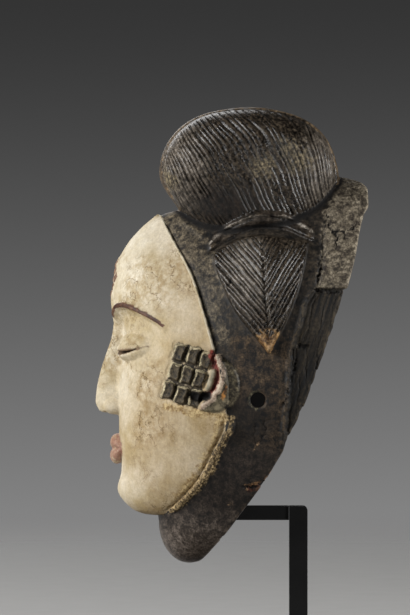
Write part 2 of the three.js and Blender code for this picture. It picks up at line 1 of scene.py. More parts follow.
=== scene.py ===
"""A carved wooden face mask on its black steel stand.

The mask is sculpted as one field of distances: a hollow shell, a face, a crest and low reliefs on its
side and front, in hundredths of the mask's height, as the solid model has them. The strands of hair
are cut into it with Geometry Nodes. One layered material paints it: kaolin, black stain, brown stain
and bare wood, parted by distances that are stored on the surface. Some of its coats are painted shade
in hollows and under overhangs, and some are painted highlights on lit ridges and edges.
"""

import math
from types import SimpleNamespace

import bpy
import numpy as np
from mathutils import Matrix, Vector


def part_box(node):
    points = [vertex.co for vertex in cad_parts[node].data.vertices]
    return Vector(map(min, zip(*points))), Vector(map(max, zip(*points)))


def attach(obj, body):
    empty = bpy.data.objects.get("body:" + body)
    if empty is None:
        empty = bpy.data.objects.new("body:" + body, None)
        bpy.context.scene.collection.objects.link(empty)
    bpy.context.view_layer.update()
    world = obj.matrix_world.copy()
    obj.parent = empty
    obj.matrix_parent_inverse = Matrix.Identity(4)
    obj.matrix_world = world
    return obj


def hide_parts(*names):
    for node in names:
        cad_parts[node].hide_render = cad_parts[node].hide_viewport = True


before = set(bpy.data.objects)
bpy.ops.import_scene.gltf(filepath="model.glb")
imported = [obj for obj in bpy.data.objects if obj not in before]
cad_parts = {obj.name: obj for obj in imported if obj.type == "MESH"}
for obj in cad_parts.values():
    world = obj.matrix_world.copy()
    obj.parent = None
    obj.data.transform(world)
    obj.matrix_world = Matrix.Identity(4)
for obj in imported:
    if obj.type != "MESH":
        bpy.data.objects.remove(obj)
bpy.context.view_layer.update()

# Sizes of the mask. One share is a hundredth of its height, and the shares start at MASK_Y and MASK_LOW.
# The shell's field is worked out up to SHELL_END from its ends, and past them it rises by END_SLOPE.
# The carving is searched for its skin from FIELD_LOW to FIELD_HIGH.
# A cut or a coat of paint is AWAY where there is none.
SHARE = 0.003
MASK_Y = -0.03
MASK_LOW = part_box("mask")[0][2]
MILLIMETRE = 0.001 / SHARE
WALL = 10 * MILLIMETRE
HOLE_RADIUS = 5 * MILLIMETRE
FACE_LIFT = 2.2 * MILLIMETRE
GRID = 0.75 * MILLIMETRE
TRIANGLES = 190000
ARCH = 2.3
SHELL_TOP = 84.7
SHELL_END = 0.15
END_SLOPE = 6
FIELD_LOW = (0, -24, -1.5)
FIELD_HIGH = (27, 41, 102)
AWAY = -9


# Small curves


def ramp(low, high, value):
    share = np.clip((value - low) / (high - low), 0, 1)
    return share * share * (3 - 2 * share)


def bell(value, half):
    return np.exp(-((value / half) ** 2))


def rounded_end(value):
    return np.sqrt(1 - (1 - np.clip(value, 0, 1)) ** 2)


def only(where, values):
    """The values where they hold, and AWAY elsewhere."""
    return np.where(where, values, AWAY)


def blend_union(a, b, soft):
    share = np.clip(0.5 + 0.5 * (b - a) / soft, 0, 1)
    return b + (a - b) * share - soft * share * (1 - share)


def blend_cut(a, b, soft):
    return -blend_union(-a, -b, soft)


def smooth_curve(stations):
    """A smooth curve through stations (at, value) that never swings past them."""
    at, value = np.array(stations, float).T
    slope = np.diff(value) / np.diff(at)
    before, after = slope[:-1], slope[1:]
    same = before * after > 0
    total = np.where(same, before + after, 1)
    inner = np.where(same, 2 * before * after / total, 0)
    tangent = np.concatenate([slope[:1], inner, slope[-1:]])
    fine = np.linspace(at[0], at[-1], 1600)
    i = np.clip(np.searchsorted(at, fine, side="right") - 1, 0, len(at) - 2)
    h = at[i + 1] - at[i]
    s = (fine - at[i]) / h
    curve = value[i] * (1 + 2 * s) * (1 - s) ** 2 + tangent[i] * h * s * (1 - s) ** 2
    curve += value[i + 1] * s * s * (3 - 2 * s) + tangent[i + 1] * h * s * s * (s - 1)
    return lambda t: np.interp(t, fine, curve)


# The shell and its hollow

rim_back = smooth_curve([
    (0, 0.4), (0.44, 2), (1.5, 3.4), (4, 5.6), (8.2, 8.9), (15.9, 14.5), (23.6, 19.4), (31.3, 23.6),
    (40.6, 27.6), (50.1, 30.9), (58.9, 33.7), (66.2, 35.7), (76.2, 38), (78.5, 39.1), (82, 39),
    (83.5, 37.7), (SHELL_TOP, 34),
])
front_line = smooth_curve([
    (9, -6.8), (12, -7.2), (20, -9.5), (30, -11.3), (45, -12.2), (60, -12.6), (68, -11),
    (74, -8.4), (76.3, -6.4), (77.6, -2.5), (79.5, 8), (82, 22), (SHELL_TOP, 32),
])
width_line = smooth_curve([
    (0, 10), (5, 11.2), (10, 13.5), (20, 18.7), (30, 22.5), (40, 24.6), (50, 25), (60, 23.4),
    (66, 20.6), (70, 17.6), (74, 14.4), (77, 12.1), (80, 10.2), (SHELL_TOP, 8.6),
])
HOLLOW_LOW = 1.4 * WALL
HOLLOW_HIGH = SHELL_TOP - WALL


def shell_front(z):
    return front_line(z) * rounded_end(z / 9)


def shell_width(z):
    return width_line(z) * rounded_end(z / 9) * rounded_end((SHELL_TOP - z) / 6)


def shell_field(x, y, z):
    """Distance from the plain shell without its ends."""
    level = shell_level(z)
    return arch_field(x, y, shell_width(level), shell_front(level), rim_back(level))


def shell_level(z):
    return np.clip(z, SHELL_END, SHELL_TOP - SHELL_END)


def arch_side(width, front, back, y):
    deep = np.clip((back - y) / np.maximum(back - front, 0.02), 0, 1)
    return width * (1 - deep**ARCH) ** (1 / ARCH)


def arch_field(x, y, width, front, back):
    """Distance from a level arch, along the line to the middle of its open side."""
    deep = np.maximum(back - y, 0)
    wide = np.maximum(width, 0.02)
    span = np.maximum(back - front, 0.02)
    share = ((x / wide) ** ARCH + (deep / span) ** ARCH) ** (1 / ARCH)
    reach = np.sqrt(x * x + deep * deep)
    return reach - reach / np.maximum(share, 1e-4)


def shell_side(y, z):
    return arch_side(shell_width(z), shell_front(z), rim_back(z), y)


# The face, set out in thirds of its height

FACE_TOP = 77
FACE_LOW = 10.6
FACE_THIRD = (FACE_TOP - FACE_LOW) / 3
BROW_Z = FACE_TOP - FACE_THIRD
NOSE_Z = BROW_Z - FACE_THIRD
EYE_Z = BROW_Z - FACE_THIRD / 3
MOUTH_Z = NOSE_Z - FACE_THIRD / 3
CHIN_Z = FACE_LOW + 5
EYE_X = 8.6

face_edge = smooth_curve([
    (FACE_LOW, -5.8), (14.8, -1.3), (19.2, 2.4), (25.6, 5.7), (31, 8), (38, 7.6), (46.4, 5.6),
    (53.5, 3.6), (62.5, 0.8), (65.9, -0.8), (69.6, -2.9), (72.7, -4.5), (76.1, -6.1), (FACE_TOP, -6.6),
])
face_front = smooth_curve([
    (FACE_LOW, -10.4), (11.6, -12.1), (13.6, -13.5), (17, -14.4), (21, -14.8), (MOUTH_Z, -15.4),
    (NOSE_Z, -15.6), (EYE_Z, -15.7), (BROW_Z + 3, -16.8), (65, -16.1), (70, -13.8), (74, -10.4),
    (76, -8), (FACE_TOP, -7),
])


def face_width(z):
    unit = arch_side(1, face_front(z), rim_back(z), face_edge(z))
    return (shell_side(face_edge(z), z) + FACE_LIFT) / np.maximum(unit, 0.1)


def face_at(x, z):
    wide = np.clip(np.abs(x) / face_width(z), 0, 1)
    back, front = rim_back(z), face_front(z)
    return back - (back - front) * (1 - wide**ARCH) ** (1 / ARCH)


def brow_line(x):
    share = np.clip((x - 2) / 14 * 0.86 + 0.08, 0, 1)
    return BROW_Z - 2.6 + 4.4 * np.sin(np.pi * share) ** 0.8


# Curves of the hair, the ear and the scars, in side view

tress_front = smooth_curve([
    (46.4, 17), (50.7, 13.5), (55.6, 9.8), (61.5, 7), (66, 5.3), (69.5, 5), (74, 6),
])
tress_middle = smooth_curve([(46.4, 17.2), (51.6, 17), (58.9, 16.3), (65.3, 16), (74, 15.4)])
tress_rear = smooth_curve([
    (46.4, 17.4), (50.7, 19.6), (56.7, 22.3), (63.7, 24.5), (70.8, 25.8), (74, 25.9),
])
tress_top = smooth_curve([
    (4, 66.3), (7, 69), (11, 71.1), (15.4, 71.9), (21, 71.2), (27, 70.6),
])
roll_line = smooth_curve([
    (4.2, 69.4), (6.4, 71.4), (10.4, 73.7), (15.4, 75.3), (20.2, 75.1), (24.1, 73.5), (26.9, 71.9),
])
flange_line = smooth_curve([
    (8, 14), (26.9, 20.5), (47.4, 22.3), (52.3, 23.8), (57.8, 25.6), (60.4, 27.5), (66, 28.5), (84, 30),
])
ROLL_ENDS = (4, 27.2)
STEP_Z = 60
TRESS_TIP = 46.4
TRESS_EDGE = 0.8
TRESS_BULGE = 2.7
HERRING_SLOPE = (1.38, 1.65)
HERRING_PITCH = 1.55
HOLE = (14.8, 36.2)
SCARS = (-0.5, 41.5)
SCAR_STEP = (2.9, 4.4)
SCAR_HALF = (1.2, 1.8)
SCAR_TURN = math.radians(16)
CREST = (12.9, 86)


def crest_place(y, z):
    """Where a point lies in the crest's own oval: backwards, upwards and out from its middle."""
    v = (z - CREST[1]) / np.where(z > CREST[1], 14.1, 17.5)
    under = ramp(0, 0.5, -v)
    u = (y - CREST[0] - 0.9 * under) / (19.45 * (1 - 0.07 * under))
    heel = np.maximum(u, 0) * ramp(-0.3, 0.5, -v)
    u = u - heel / 19.45
    v = v + heel / 35
    return u, v, (np.abs(u) ** 2.2 + np.abs(v) ** 2.2) ** (1 / 2.2)


def crest_field(x, y, z):
    """The crest: a thick comb. A low band runs over its top, parted from its sides by a groove."""
    _, v, out = crest_place(y, z)
    thick = out**3.6 + (x / 15) ** 2.6
    band = 0.22 * ramp(0.965, 0.985, out) - 0.14 * bell(out - 0.955, 0.014)
    return (thick ** (1 / 3) - 1) * 16.7 + 0.2 - band * ramp(-0.5, -0.2, v)


def crest_strand(y, z):
    """The number of the strand at a point of the crest."""
    u = (y - 13.2) / 19.2
    v = (CREST[1] - z) / 14.1
    turn = [np.arcsin(np.clip(0.98 * value, -1, 1)) for value in (u, v)]
    number = (76.8 * turn[0] - 30 * turn[1] + 15 * u * np.clip(v, -1.2, 1.2)) / 5.3
    number += 0.12 * np.sin(0.9 * y + 0.35 * z) + 0.12 * np.sin(0.23 * y - 0.6 * z + 1)
    return number + 0.16 * np.sin(1.9 * number)


def tress_place(y, z):
    """Distance inside a tress's edge, distance from its middle line and strand number."""
    middle = tress_middle(z)
    from_front = (y - tress_front(z)) * 0.9
    from_rear = (tress_rear(z) - y) * 0.9
    inside = np.minimum(np.minimum(from_front, from_rear), tress_top(y) - z)
    inside = np.minimum(inside, z - TRESS_TIP)
    across = np.abs(y - middle)
    slope = np.where(y < middle, *HERRING_SLOPE)
    wave = 0.07 * np.sin(0.5 * y + 0.4 * z) + 0.05 * np.sin(1.1 * z - 0.5 * y + 1)
    leaf = (z - slope * across + 0.012 * across**2) / HERRING_PITCH + wave
    return inside, across, leaf + 0.2 * np.sin(2.1 * leaf + 0.6 * (y < middle))


def tress_relief(y, z):
    inside, across, _ = tress_place(y, z)
    reach = np.where(y < tress_middle(z), tress_middle(z) - tress_front(z), tress_rear(z) - tress_middle(z))
    share = np.clip(across / np.maximum(reach, 0.05), 0, 1)
    full = (0.7 * (1 - share**1.3) + 0.3 * rounded_end(1 - share)) * rounded_end((tress_top(y) - z) / 3)
    height = TRESS_EDGE + TRESS_BULGE * full * (0.55 + 0.45 * ramp(TRESS_TIP, 60, z))
    from_parting = y - tress_middle(z) - 0.12 * np.sin(2.6 * z)
    parting = 0.5 * bell(from_parting, 0.25) - 0.2 * bell(from_parting - 0.6, 0.3)
    return (height - parting * ramp(0.5, 1.5, inside)) * ramp(-0.15, 0.3, inside)


def from_middle(y, z, middle, half):
    """0 at the middle of an oval and 1 on its edge."""
    return np.hypot((y - middle[0]) / half[0], (z - middle[1]) / half[1])


def along(points, y, z, width):
    """How near a point is to a line of points: 1 on it, 0 at the given width."""
    near = np.full(np.shape(y), 1e3)
    for (y0, z0), (y1, z1) in zip(points, points[1:]):
        run = max((y1 - y0) ** 2 + (z1 - z0) ** 2, 1e-6)
        share = np.clip(((y - y0) * (y1 - y0) + (z - z0) * (z1 - z0)) / run, 0, 1)
        near = np.minimum(near, np.hypot(y - y0 - share * (y1 - y0), z - z0 - share * (z1 - z0)))
    return np.clip(1 - near / width, 0, 1)


def near_line(points, y, z, half):
    """Above 0 closer than a half-width to a line of points, and well below 0 away from it."""
    near = along(points, y, z, half + 2)
    return only(near > 0, near * (half + 2) - 2)


def scar_blocks(y, z):
    """Nine blocks before the ear: how far inside a block a point is, and how far along it."""
    dy, dz = y - SCARS[0], z - SCARS[1]
    a = dy * math.cos(SCAR_TURN) - dz * math.sin(SCAR_TURN)
    b = dy * math.sin(SCAR_TURN) + dz * math.cos(SCAR_TURN)
    column = np.clip(np.round(a / SCAR_STEP[0]), -1, 1)
    row = np.clip(np.round(b / SCAR_STEP[1]), -1, 1)
    a = a - column * SCAR_STEP[0] - 0.12 * np.sin(5 * column + 3 * row) + 0.1 * np.sin(2.1 * z)
    b = b - row * SCAR_STEP[1] + 0.12 * np.sin(3 * column + 5 * row) + 0.1 * np.sin(1.9 * y)
    over_a, over_b = np.abs(a) - SCAR_HALF[0] + 0.3, np.abs(b) - SCAR_HALF[1] + 0.3
    outside = np.hypot(np.maximum(over_a, 0), np.maximum(over_b, 0))
    outside = outside + np.minimum(np.maximum(over_a, over_b), 0)
    edge = 1.5 * np.array(SCAR_STEP) - 0.25
    within = np.minimum(edge[0] - np.abs(a + column * SCAR_STEP[0]), edge[1] - np.abs(b + row * SCAR_STEP[1]))
    return 0.3 - outside, a, b, within


def scar_relief(y, z):
    """Blocks with flat worn tops in shallow channels. Their upper edges stand highest."""
    inside, _, b, _ = scar_blocks(y, z)
    top = 0.85 + 0.2 * ramp(-1.5, 1.5, b) - 0.3 * ramp(0.35, 0.8, inside)
    return top * ramp(0, 0.3, inside) - 0.3 * ramp(-0.75, -0.3, inside) * ramp(0.1, 0, inside)


EAR_RIM = [
    (6.3, 45.4), (6.6, 44.4), (7.2, 42.7), (7.3, 41.2), (6.9, 39.6), (6.1, 38), (4.6, 36.1), (2.6, 34.7),
]
EAR_GAP = [(5, 46.2), (5.4, 44.5), (5.9, 41.8), (5.9, 39.8), (5.2, 38.2), (4.2, 37.3)]
EAR_LOBE = [(5.2, 42.2), (4.8, 40.5), (4.1, 38.7)]
EAR_PIT = [(0.9, 37.2), (2.2, 36.6), (3.8, 37)]
ear_rim_line = smooth_curve([(z, y) for y, z in reversed(EAR_RIM)])


def ear_place(y, z):
    """How far a point lies inside the ear's outer edge, and behind its inner rim."""
    outer = 6 * (1 - from_middle(y, z, (5, 39.5), (5.95, 6.1)))
    return outer, y - ear_rim_line(z)


def ear_relief(y, z):
    """A rim, a helix that slopes away behind it, and in front a narrow hollow with an upright lobe."""
    outer, behind = ear_place(y, z)
    helix = ramp(0, 0.5, outer) * ramp(-0.4, 0.2, behind) * (0.5 + 0.8 * np.exp(-np.maximum(behind, 0) / 1.6))
    rim = 1.5 * rounded_end(along(EAR_RIM, y, z, 0.85)) * (1 - 0.4 * ramp(42, 45, z))
    gap = 1.0 * ramp(0, 0.7, along(EAR_GAP, y, z, 1))
    lobe = 1.3 * rounded_end(along(EAR_LOBE, y, z, 0.75))
    pit = 1.3 * ramp(0, 0.7, along(EAR_PIT, y, z, 1.2))
    return np.maximum(np.maximum(helix, rim) - gap * (rim < 0.2), lobe) - pit


def rim_relief(y, z):
    """The flat band along the rim: cracked across, and below the crack split away along the grain."""
    behind = y - flange_line(z)
    behind = behind + 0.2 * np.sin(0.45 * z) + 0.09 * np.sin(1.9 * z + 1) + 0.07 * np.sin(4.7 * z)
    low = ramp(STEP_Z + 0.4, STEP_Z, z) * ramp(22, 30, z)
    sunk = low * ramp(-0.2, 0.3, behind)
    lip = 0.45 * bell(behind + 0.5, 0.35) * low
    wave = 0.3 * np.sin(0.23 * z + 1) + 0.08 * np.sin(0.9 * z + 2)
    groove = np.abs(np.sin(np.pi * (behind + wave) / 1.05 + 0.7 * np.sin(behind))) ** 0.5
    split = 0.6 * (1 - groove) * (0.55 + 0.45 * np.sin(0.4 * z + 2.7 * behind)) * sunk
    high = ramp(STEP_Z - 0.2, STEP_Z + 1.5, z) * ramp(76, 72, z)
    return lip - 0.6 * sunk - split - 0.6 * bell(behind, 0.4) * high


def roll_place(y, z):
    """How far across the roll a point lies: 0 on its line, 1 on its upper edge."""
    from_end = np.minimum(y - ROLL_ENDS[0], ROLL_ENDS[1] - y)
    return (z - roll_line(y)) / (0.8 + 0.95 * rounded_end(from_end / 5))


def roll_relief(y, z):
    """The roll of hair over a tress: sharp along its top, with a cove under it."""
    t = roll_place(y, z)
    ends = ramp(3.8, 5, y) * ramp(27.4, 26, y)
    body = 1.2 * np.sqrt(np.clip(1 - t * t, 0, 1)) + 0.35 * bell(t - 0.6, 0.17)
    grooves = 0.3 * bell(t - 0.22, 0.13) + 0.45 * bell(t + 1.2, 0.3)
    return body * ends * ramp(1.05, 0.9, np.abs(t)), grooves * ends


def side_relief(y, z):
    """Everything that stands out on both sides of the head, in side view."""
    roll, grooves = roll_relief(y, z)
    height = np.maximum(tress_relief(y, z), roll) - grooves
    behind = y - face_edge(z)
    jaw = ramp(33.5, 30, z) * ramp(10.5, 12.5, z)
    rough = 1 + 0.2 * np.sin(5.1 * y + 3 * z) * np.sin(4.3 * z - 2.2 * y)
    welt = 0.85 * np.sqrt(np.clip(1 - ((behind - 0.9) / 0.95) ** 2, 0, 1)) * rough
    height += jaw * (welt - 0.5 * bell(behind + 0.6, 0.35))
    hairline = ramp(45, 49, z)
    height += hairline * 0.3 * bell(behind + 0.3, 0.35)
    height -= hairline * 0.12 * bell(behind - 0.6, 0.4)
    height += scar_relief(y, z) + ear_relief(y, z) + rim_relief(y, z)
    height += 0.35 * along([(-3.1, 77.2), (-0.5, 74.2), (2.8, 71.8)], y, z, 0.7)
    from_hole = np.hypot(y - HOLE[0], z - HOLE[1])
    return height - 0.3 * ramp(HOLE_RADIUS + 0.5, HOLE_RADIUS - 0.1, from_hole)


def forehead_scales(x, z):
    """Nine scales in a lozenge on the middle of the forehead."""
    a = (x + z - BROW_Z - 8) / math.sqrt(2)
    b = (z - BROW_Z - 8 - x) / math.sqrt(2)
    height = np.zeros(np.shape(x))
    for row in (1, 0, -1):
        for column in (1, 0, -1):
            da, db = a - 2.3 * column, b - 2.3 * row
            edge = 1.02 - np.maximum(np.abs(da), np.abs(db))
            lift = 0.3 + 0.12 * (-(da + db)) / 1.4
            height = np.maximum(height, lift * ramp(0, 0.22, edge))
    return height


def front_relief(x, z):
    """Everything that stands out of the face, or sinks into it, in front view."""
    x = np.abs(x)
    below = brow_line(x) - z
    aside = 1 - ramp(5, 11, np.abs(x - EYE_X))
    socket = 1.5 * ramp(0, 2.4, below) * (1 - ramp(5, 15, below)) * aside
    chin = 1.7 * np.exp(-((x / 5.5) ** 2) - ((z - CHIN_Z) / 3.4) ** 2)
    ends = ramp(1.2, 3.4, x) * ramp(17.4, 12.5, x)
    brow = 0.75 * np.sqrt(np.clip(1 - (below / 0.75) ** 2, 0, 1)) * ends
    across, up = (x - EYE_X) / 5.4, (z - EYE_Z) / 3.1
    lid = 2 * np.clip(1 - across**2 - up**2, 0, 1) ** 0.62
    crease = lid_line(x) + 2.2 * np.clip(1 - across**2, 0, 1)
    fold = 0.3 * bell(z - crease, 0.28) * np.clip(1 - across**2, 0, 1)
    rims = 0.3 * bell(np.abs(z - lid_line(x)) - 0.75, 0.32) * ramp(1, 0.8, np.abs(across))
    philtrum = 0.35 * bell(x, 0.8) * ramp(NOSE_Z, NOSE_Z - 1, z) * ramp(MOUTH_Z, MOUTH_Z + 2, z)
    return chin + brow + lid - fold + rims - socket - philtrum + forehead_scales(x, z)


def lid_line(x):
    return EYE_Z - 0.3 - 0.9 * (1 - ((x - EYE_X) / 4.3) ** 2)


def nose_field(x, y, z):
    low, root = NOSE_Z + 0.2, BROW_Z - 2
    share = np.clip((z - low) / (root - low), 0, 1)
    half = 3.0 + (1.25 - 3.0) * ramp(0, 0.75, share)
    out = 5.1 * (0.84 + 0.16 * ramp(0, 0.13, share)) * (1 - ramp(0.06, 1.12, share)) ** 0.8 + 0.15
    base = face_front(z) + 0.8
    around = np.sqrt((x / half) ** 2 + (np.abs(base - y) / (out + 0.8)) ** 2)
    bridge = (around - 1) * np.minimum(half, out + 0.8)
    bridge = blend_cut(bridge, low - z, 0.9)
    wing = ball_field(x - 2.9, y - face_front(NOSE_Z) + 0.9, z - NOSE_Z - 1.6, 1.8, 2.4, 1.7)
    nostril = ball_field(x - 1.5, y - face_front(NOSE_Z) + 1.9, z - NOSE_Z - 0.1, 0.75, 1.2, 0.9)
    return blend_cut(blend_union(bridge, wing, 0.7), -nostril, 0.3)


def ball_field(x, y, z, rx, ry, rz):
    around = np.sqrt((x / rx) ** 2 + (y / ry) ** 2 + (z / rz) ** 2)
    return (around - 1) * min(rx, ry, rz)


LIP_HALF = 5.4


def lip_field(x, y, z, up):
    full = np.clip(1 - (x / LIP_HALF) ** 2, 0, 1) ** 0.9
    height = (1.6 if up > 0 else 1.8) * full + 0.05
    bow = -0.5 * bell(x, 1.1) if up > 0 else 0
    middle_z = MOUTH_Z + up * (height * 0.93 + 0.05) + bow - 0.25 * (1 - full)
    out = 2.1 * (0.3 + 0.4 * full)
    middle_y = face_at(x, MOUTH_Z) - 0.6 * full
    around = np.sqrt(((y - middle_y) / out) ** 2 + ((z - middle_z) / height) ** 2)
    return (around - 1) * np.minimum(out, height) + 2 * np.maximum(x - LIP_HALF + 0.3, 0)


def eye_slit(x, z):
    """Above 0 inside the two slits that are cut right through the lids."""
    share = 1.05 - ((x - EYE_X) / 4.3) ** 2
    return 0.3 * np.clip(share, -1, 1.05) - np.abs(z - lid_line(x))


# Sheets of relief, worked out once and then looked up

SHEET_STEP = 0.08


def make_sheet(relief, low, high):
    axes = [np.arange(low[i], high[i] + SHEET_STEP, SHEET_STEP) for i in (0, 1)]
    grid = np.meshgrid(*axes, indexing="ij")
    return relief(*grid).astype(np.float32), low


def read_sheet(sheet, a, b):
    values, low = sheet
    across = np.clip((a - low[0]) / SHEET_STEP, 0, values.shape[0] - 1.001)
    up = np.clip((b - low[1]) / SHEET_STEP, 0, values.shape[1] - 1.001)
    i, j = across.astype(np.int32), up.astype(np.int32)
    s, t = across - i, up - j
    lower = values[i, j] * (1 - s) + values[i + 1, j] * s
    return lower * (1 - t) + (values[i, j + 1] * (1 - s) + values[i + 1, j + 1] * s) * t


side_sheet = make_sheet(side_relief, (-18, 2), (42, 90))
front_sheet = make_sheet(front_relief, (0, 6), (26, 80))


def hollow_field(x, y, z):
    inner = (z - HOLLOW_LOW) / (HOLLOW_HIGH - HOLLOW_LOW) * SHELL_TOP
    level = np.clip(inner, 2 * SHELL_END, SHELL_TOP - 2 * SHELL_END)
    behind_face = ramp(10, 22, z) * (1 - ramp(60, 74, z))
    front = shell_front(level) + WALL * (1 - 0.65 * behind_face)
    width = shell_width(level) * (1 - WALL / 25)
    field = arch_field(x, y, width, front, rim_back(z))
    return field + END_SLOPE * np.abs(inner - level)


def carving(x, y, z):
    """The whole mask's field: below 0 in the wood. x is the distance from the middle plane."""
    x = np.abs(x)
    level = shell_level(z)
    back = rim_back(level)
    shell = blend_cut(shell_field(x, y, z), (y - back) * 0.9, 0.8) + END_SLOPE * np.abs(z - level)
    lift = read_sheet(front_sheet, x, z)
    z_face = np.clip(z, FACE_LOW, FACE_TOP)
    face = arch_field(x, y, face_width(z_face), face_front(z_face), back) - lift
    face = blend_cut(face, (y - face_edge(z_face)) * 0.9, 0.4)
    face = blend_cut(face, np.maximum(FACE_LOW - z, z - FACE_TOP), 1.2)
    body = blend_union(shell, face, 0.15)
    front = np.flatnonzero((x < 12) & (y < -6) & (z > 20) & (z < 60))
    if len(front):
        fx, fy, fz = x[front], y[front], z[front]
        part = blend_union(body[front], nose_field(fx, fy, fz), 0.8)
        lips = np.minimum(lip_field(fx, fy, fz, 1), lip_field(fx, fy, fz, -1))
        body[front] = blend_union(part, lips, 0.25)
    upper = np.flatnonzero(z > 62)
    if len(upper):
        crest = crest_field(x[upper], y[upper], z[upper])
        body[upper] = blend_union(body[upper], crest, 0.5)
    body -= read_sheet(side_sheet, y, z) * ramp(6, 9, x)
    body = blend_cut(body, -hollow_field(x, y, z), 0.5)
    from_hole = HOLE_RADIUS - np.hypot(y - HOLE[0], z - HOLE[1])
    body = blend_cut(body, only(x > 5, from_hole), 0.15)
    return np.maximum(body, only(y < 0, eye_slit(x, z)))


# The skin of a field, found on a grid


def skin_of(field, low, high, step):
    """A mesh of the field's skin for x of 0 and more: its points and its four-sided faces."""
    coarse = 4
    size = [int(np.ceil((high[i] - low[i]) / (step * coarse))) * coarse for i in range(3)]
    axes = [low[i] + step * np.arange(size[i] + 1) for i in range(3)]
    axes[0] = step * (np.arange(size[0] + 1) - 0.5)
    rough = [axis[::coarse] for axis in axes]
    grid = np.meshgrid(*rough, indexing="ij")
    signs = field(*[g.ravel() for g in grid]).reshape(grid[0].shape) < 0
    total = sum(signs[cut].astype(np.int8) for cut in corners(signs.shape))
    near = (total > 0) & (total < 8)
    for _ in range(2):
        wide = np.pad(near, 1)
        near = np.any([wide[cut] for cut in shifts(near.shape, 3)], axis=0)
    wanted = np.zeros([n + 1 for n in size], bool)
    blocks = near.repeat(coarse, 0).repeat(coarse, 1).repeat(coarse, 2)
    for cut in corners(wanted.shape):
        wanted[cut] |= blocks
    fill = signs.repeat(coarse, 0).repeat(coarse, 1).repeat(coarse, 2)
    fill = fill[: size[0] + 1, : size[1] + 1, : size[2] + 1]
    values = np.where(fill, -1, 1).astype(np.float32)
    places = np.flatnonzero(wanted)
    flat = values.ravel()
    for part in np.array_split(places, max(1, len(places) // 400000)):
        at = np.unravel_index(part, values.shape)
        flat[part] = field(*[axes[i][at[i]] for i in range(3)])
    return quads_of(flat.reshape(values.shape), axes)


def shifts(shape, count):
    """Cuts of one shape out of a larger grid, shifted by up to count - 1 along each axis."""
    spans = [[slice(s, s + n) for s in range(count)] for n in shape]
    return [(a, b, c) for a in spans[0] for b in spans[1] for c in spans[2]]


def corners(shape):
    return shifts([n - 1 for n in shape], 2)


def quads_of(values, axes):
    inside = values < 0
    total = sum(inside[cut].astype(np.int8) for cut in corners(values.shape))
    cells = np.argwhere((total > 0) & (total < 8))
    number = np.full(total.shape, -1, np.int32)
    number[tuple(cells.T)] = np.arange(len(cells))
    offsets = [(a, b, c) for a in (0, 1) for b in (0, 1) for c in (0, 1)]
    held = np.stack([values[tuple((cells + o).T)] for o in offsets])
    place = np.zeros((len(cells), 3))
    count = np.zeros(len(cells))
    for a, first in enumerate(offsets):
        for b, second in enumerate(offsets):
            if b <= a or sum(abs(p - q) for p, q in zip(first, second)) != 1:
                continue
            crossed = (held[a] < 0) != (held[b] < 0)
            share = np.where(crossed, held[a] / np.where(crossed, held[a] - held[b], 1), 0)
            for i in range(3):
                place[:, i] += crossed * (first[i] + share * (second[i] - first[i]))
            count += crossed
    place /= count[:, None]
    step = axes[0][1] - axes[0][0]
    points = np.stack([axes[i][cells[:, i]] + place[:, i] * step for i in range(3)], 1)
    points[cells[:, 0] == 0, 0] = 0
    quads = []
    for axis in range(3):
        side, up = (axis + 1) % 3, (axis + 2) % 3
        ahead = np.roll(inside, -1, axis)
        crossed = inside != ahead
        last = [slice(1, n - 1) for n in inside.shape]
        last[axis] = slice(0, inside.shape[axis] - 1)
        found = np.argwhere(crossed[tuple(last)])
        found += [0 if i == axis else 1 for i in range(3)]
        outwards = inside[tuple(found.T)]
        ring = []
        for da, db in ((1, 1), (0, 1), (0, 0), (1, 0)):
            cell = found.copy()
            cell[:, side] -= da
            cell[:, up] -= db
            ring.append(number[tuple(cell.T)])
        ring = np.stack(ring, 1)
        quads.append(np.where(outwards[:, None], ring, ring[:, ::-1]))
    quads = np.concatenate(quads)
    return points, quads[(quads >= 0).all(1)]


def mirrored(points, quads):
    """Both halves in one, sharing the points on the middle plane."""
    on_middle = points[:, 0] == 0
    extra = np.flatnonzero(~on_middle)
    number = np.arange(len(points))
    number[extra] = len(points) + np.arange(len(extra))
    other = points[extra] * (-1, 1, 1)
    return np.concatenate([points, other]), np.concatenate([quads, number[quads][:, ::-1]])


def mesh_of(name, points, faces):
    made = bpy.data.meshes.new(name)
    made.vertices.add(len(points))
    made.vertices.foreach_set("co", points.astype(np.float32).ravel())
    made.loops.add(faces.size)
    made.loops.foreach_set("vertex_index", faces.astype(np.int32).ravel())
    made.polygons.add(len(faces))
    made.polygons.foreach_set("loop_start", np.arange(len(faces), dtype=np.int32) * faces.shape[1])
    made.update(calc_edges=True)
    return made


def new_object(name, data):
    made = bpy.data.objects.new(name, data)
    bpy.context.scene.collection.objects.link(made)
    return made


def put(mesh, name, values):
    layer = mesh.attributes.new(name, "FLOAT", "POINT")
    layer.data.foreach_set("value", np.asarray(values, np.float32))


def read_points(items, name):
    flat = np.empty(len(items) * 3, np.float32)
    items.foreach_get(name, flat)
    return flat.reshape(-1, 3).astype(float)


def shares_of(mesh):
    """A mesh's points in the mask's own shares."""
    x, y, z = read_points(mesh.vertices, "co").T
    return x / SHARE, (y - MASK_Y) / SHARE, (z - MASK_LOW) / SHARE


# Small functions for nodes


def linear(code):
    """A colour written as six sRGB hex digits."""
    parts = [int(code[i : i + 2], 16) / 255 for i in (0, 2, 4)]
    return [p / 12.92 if p <= 0.04045 else ((p + 0.055) / 1.055) ** 2.4 for p in parts] + [1.0]


def add(tree, kind, inputs, out=0, **settings):
    """Adds a node and gives one of its outputs. Each input is a number, a colour or an output."""
    made = tree.nodes.new(kind)
    for name, value in settings.items():
        setattr(made, name, value)
    for socket, value in inputs.items():
        if isinstance(value, bpy.types.NodeSocket):
            tree.links.new(value, made.inputs[socket])
        else:
            made.inputs[socket].default_value = value
    return made.outputs[out] if made.outputs else made


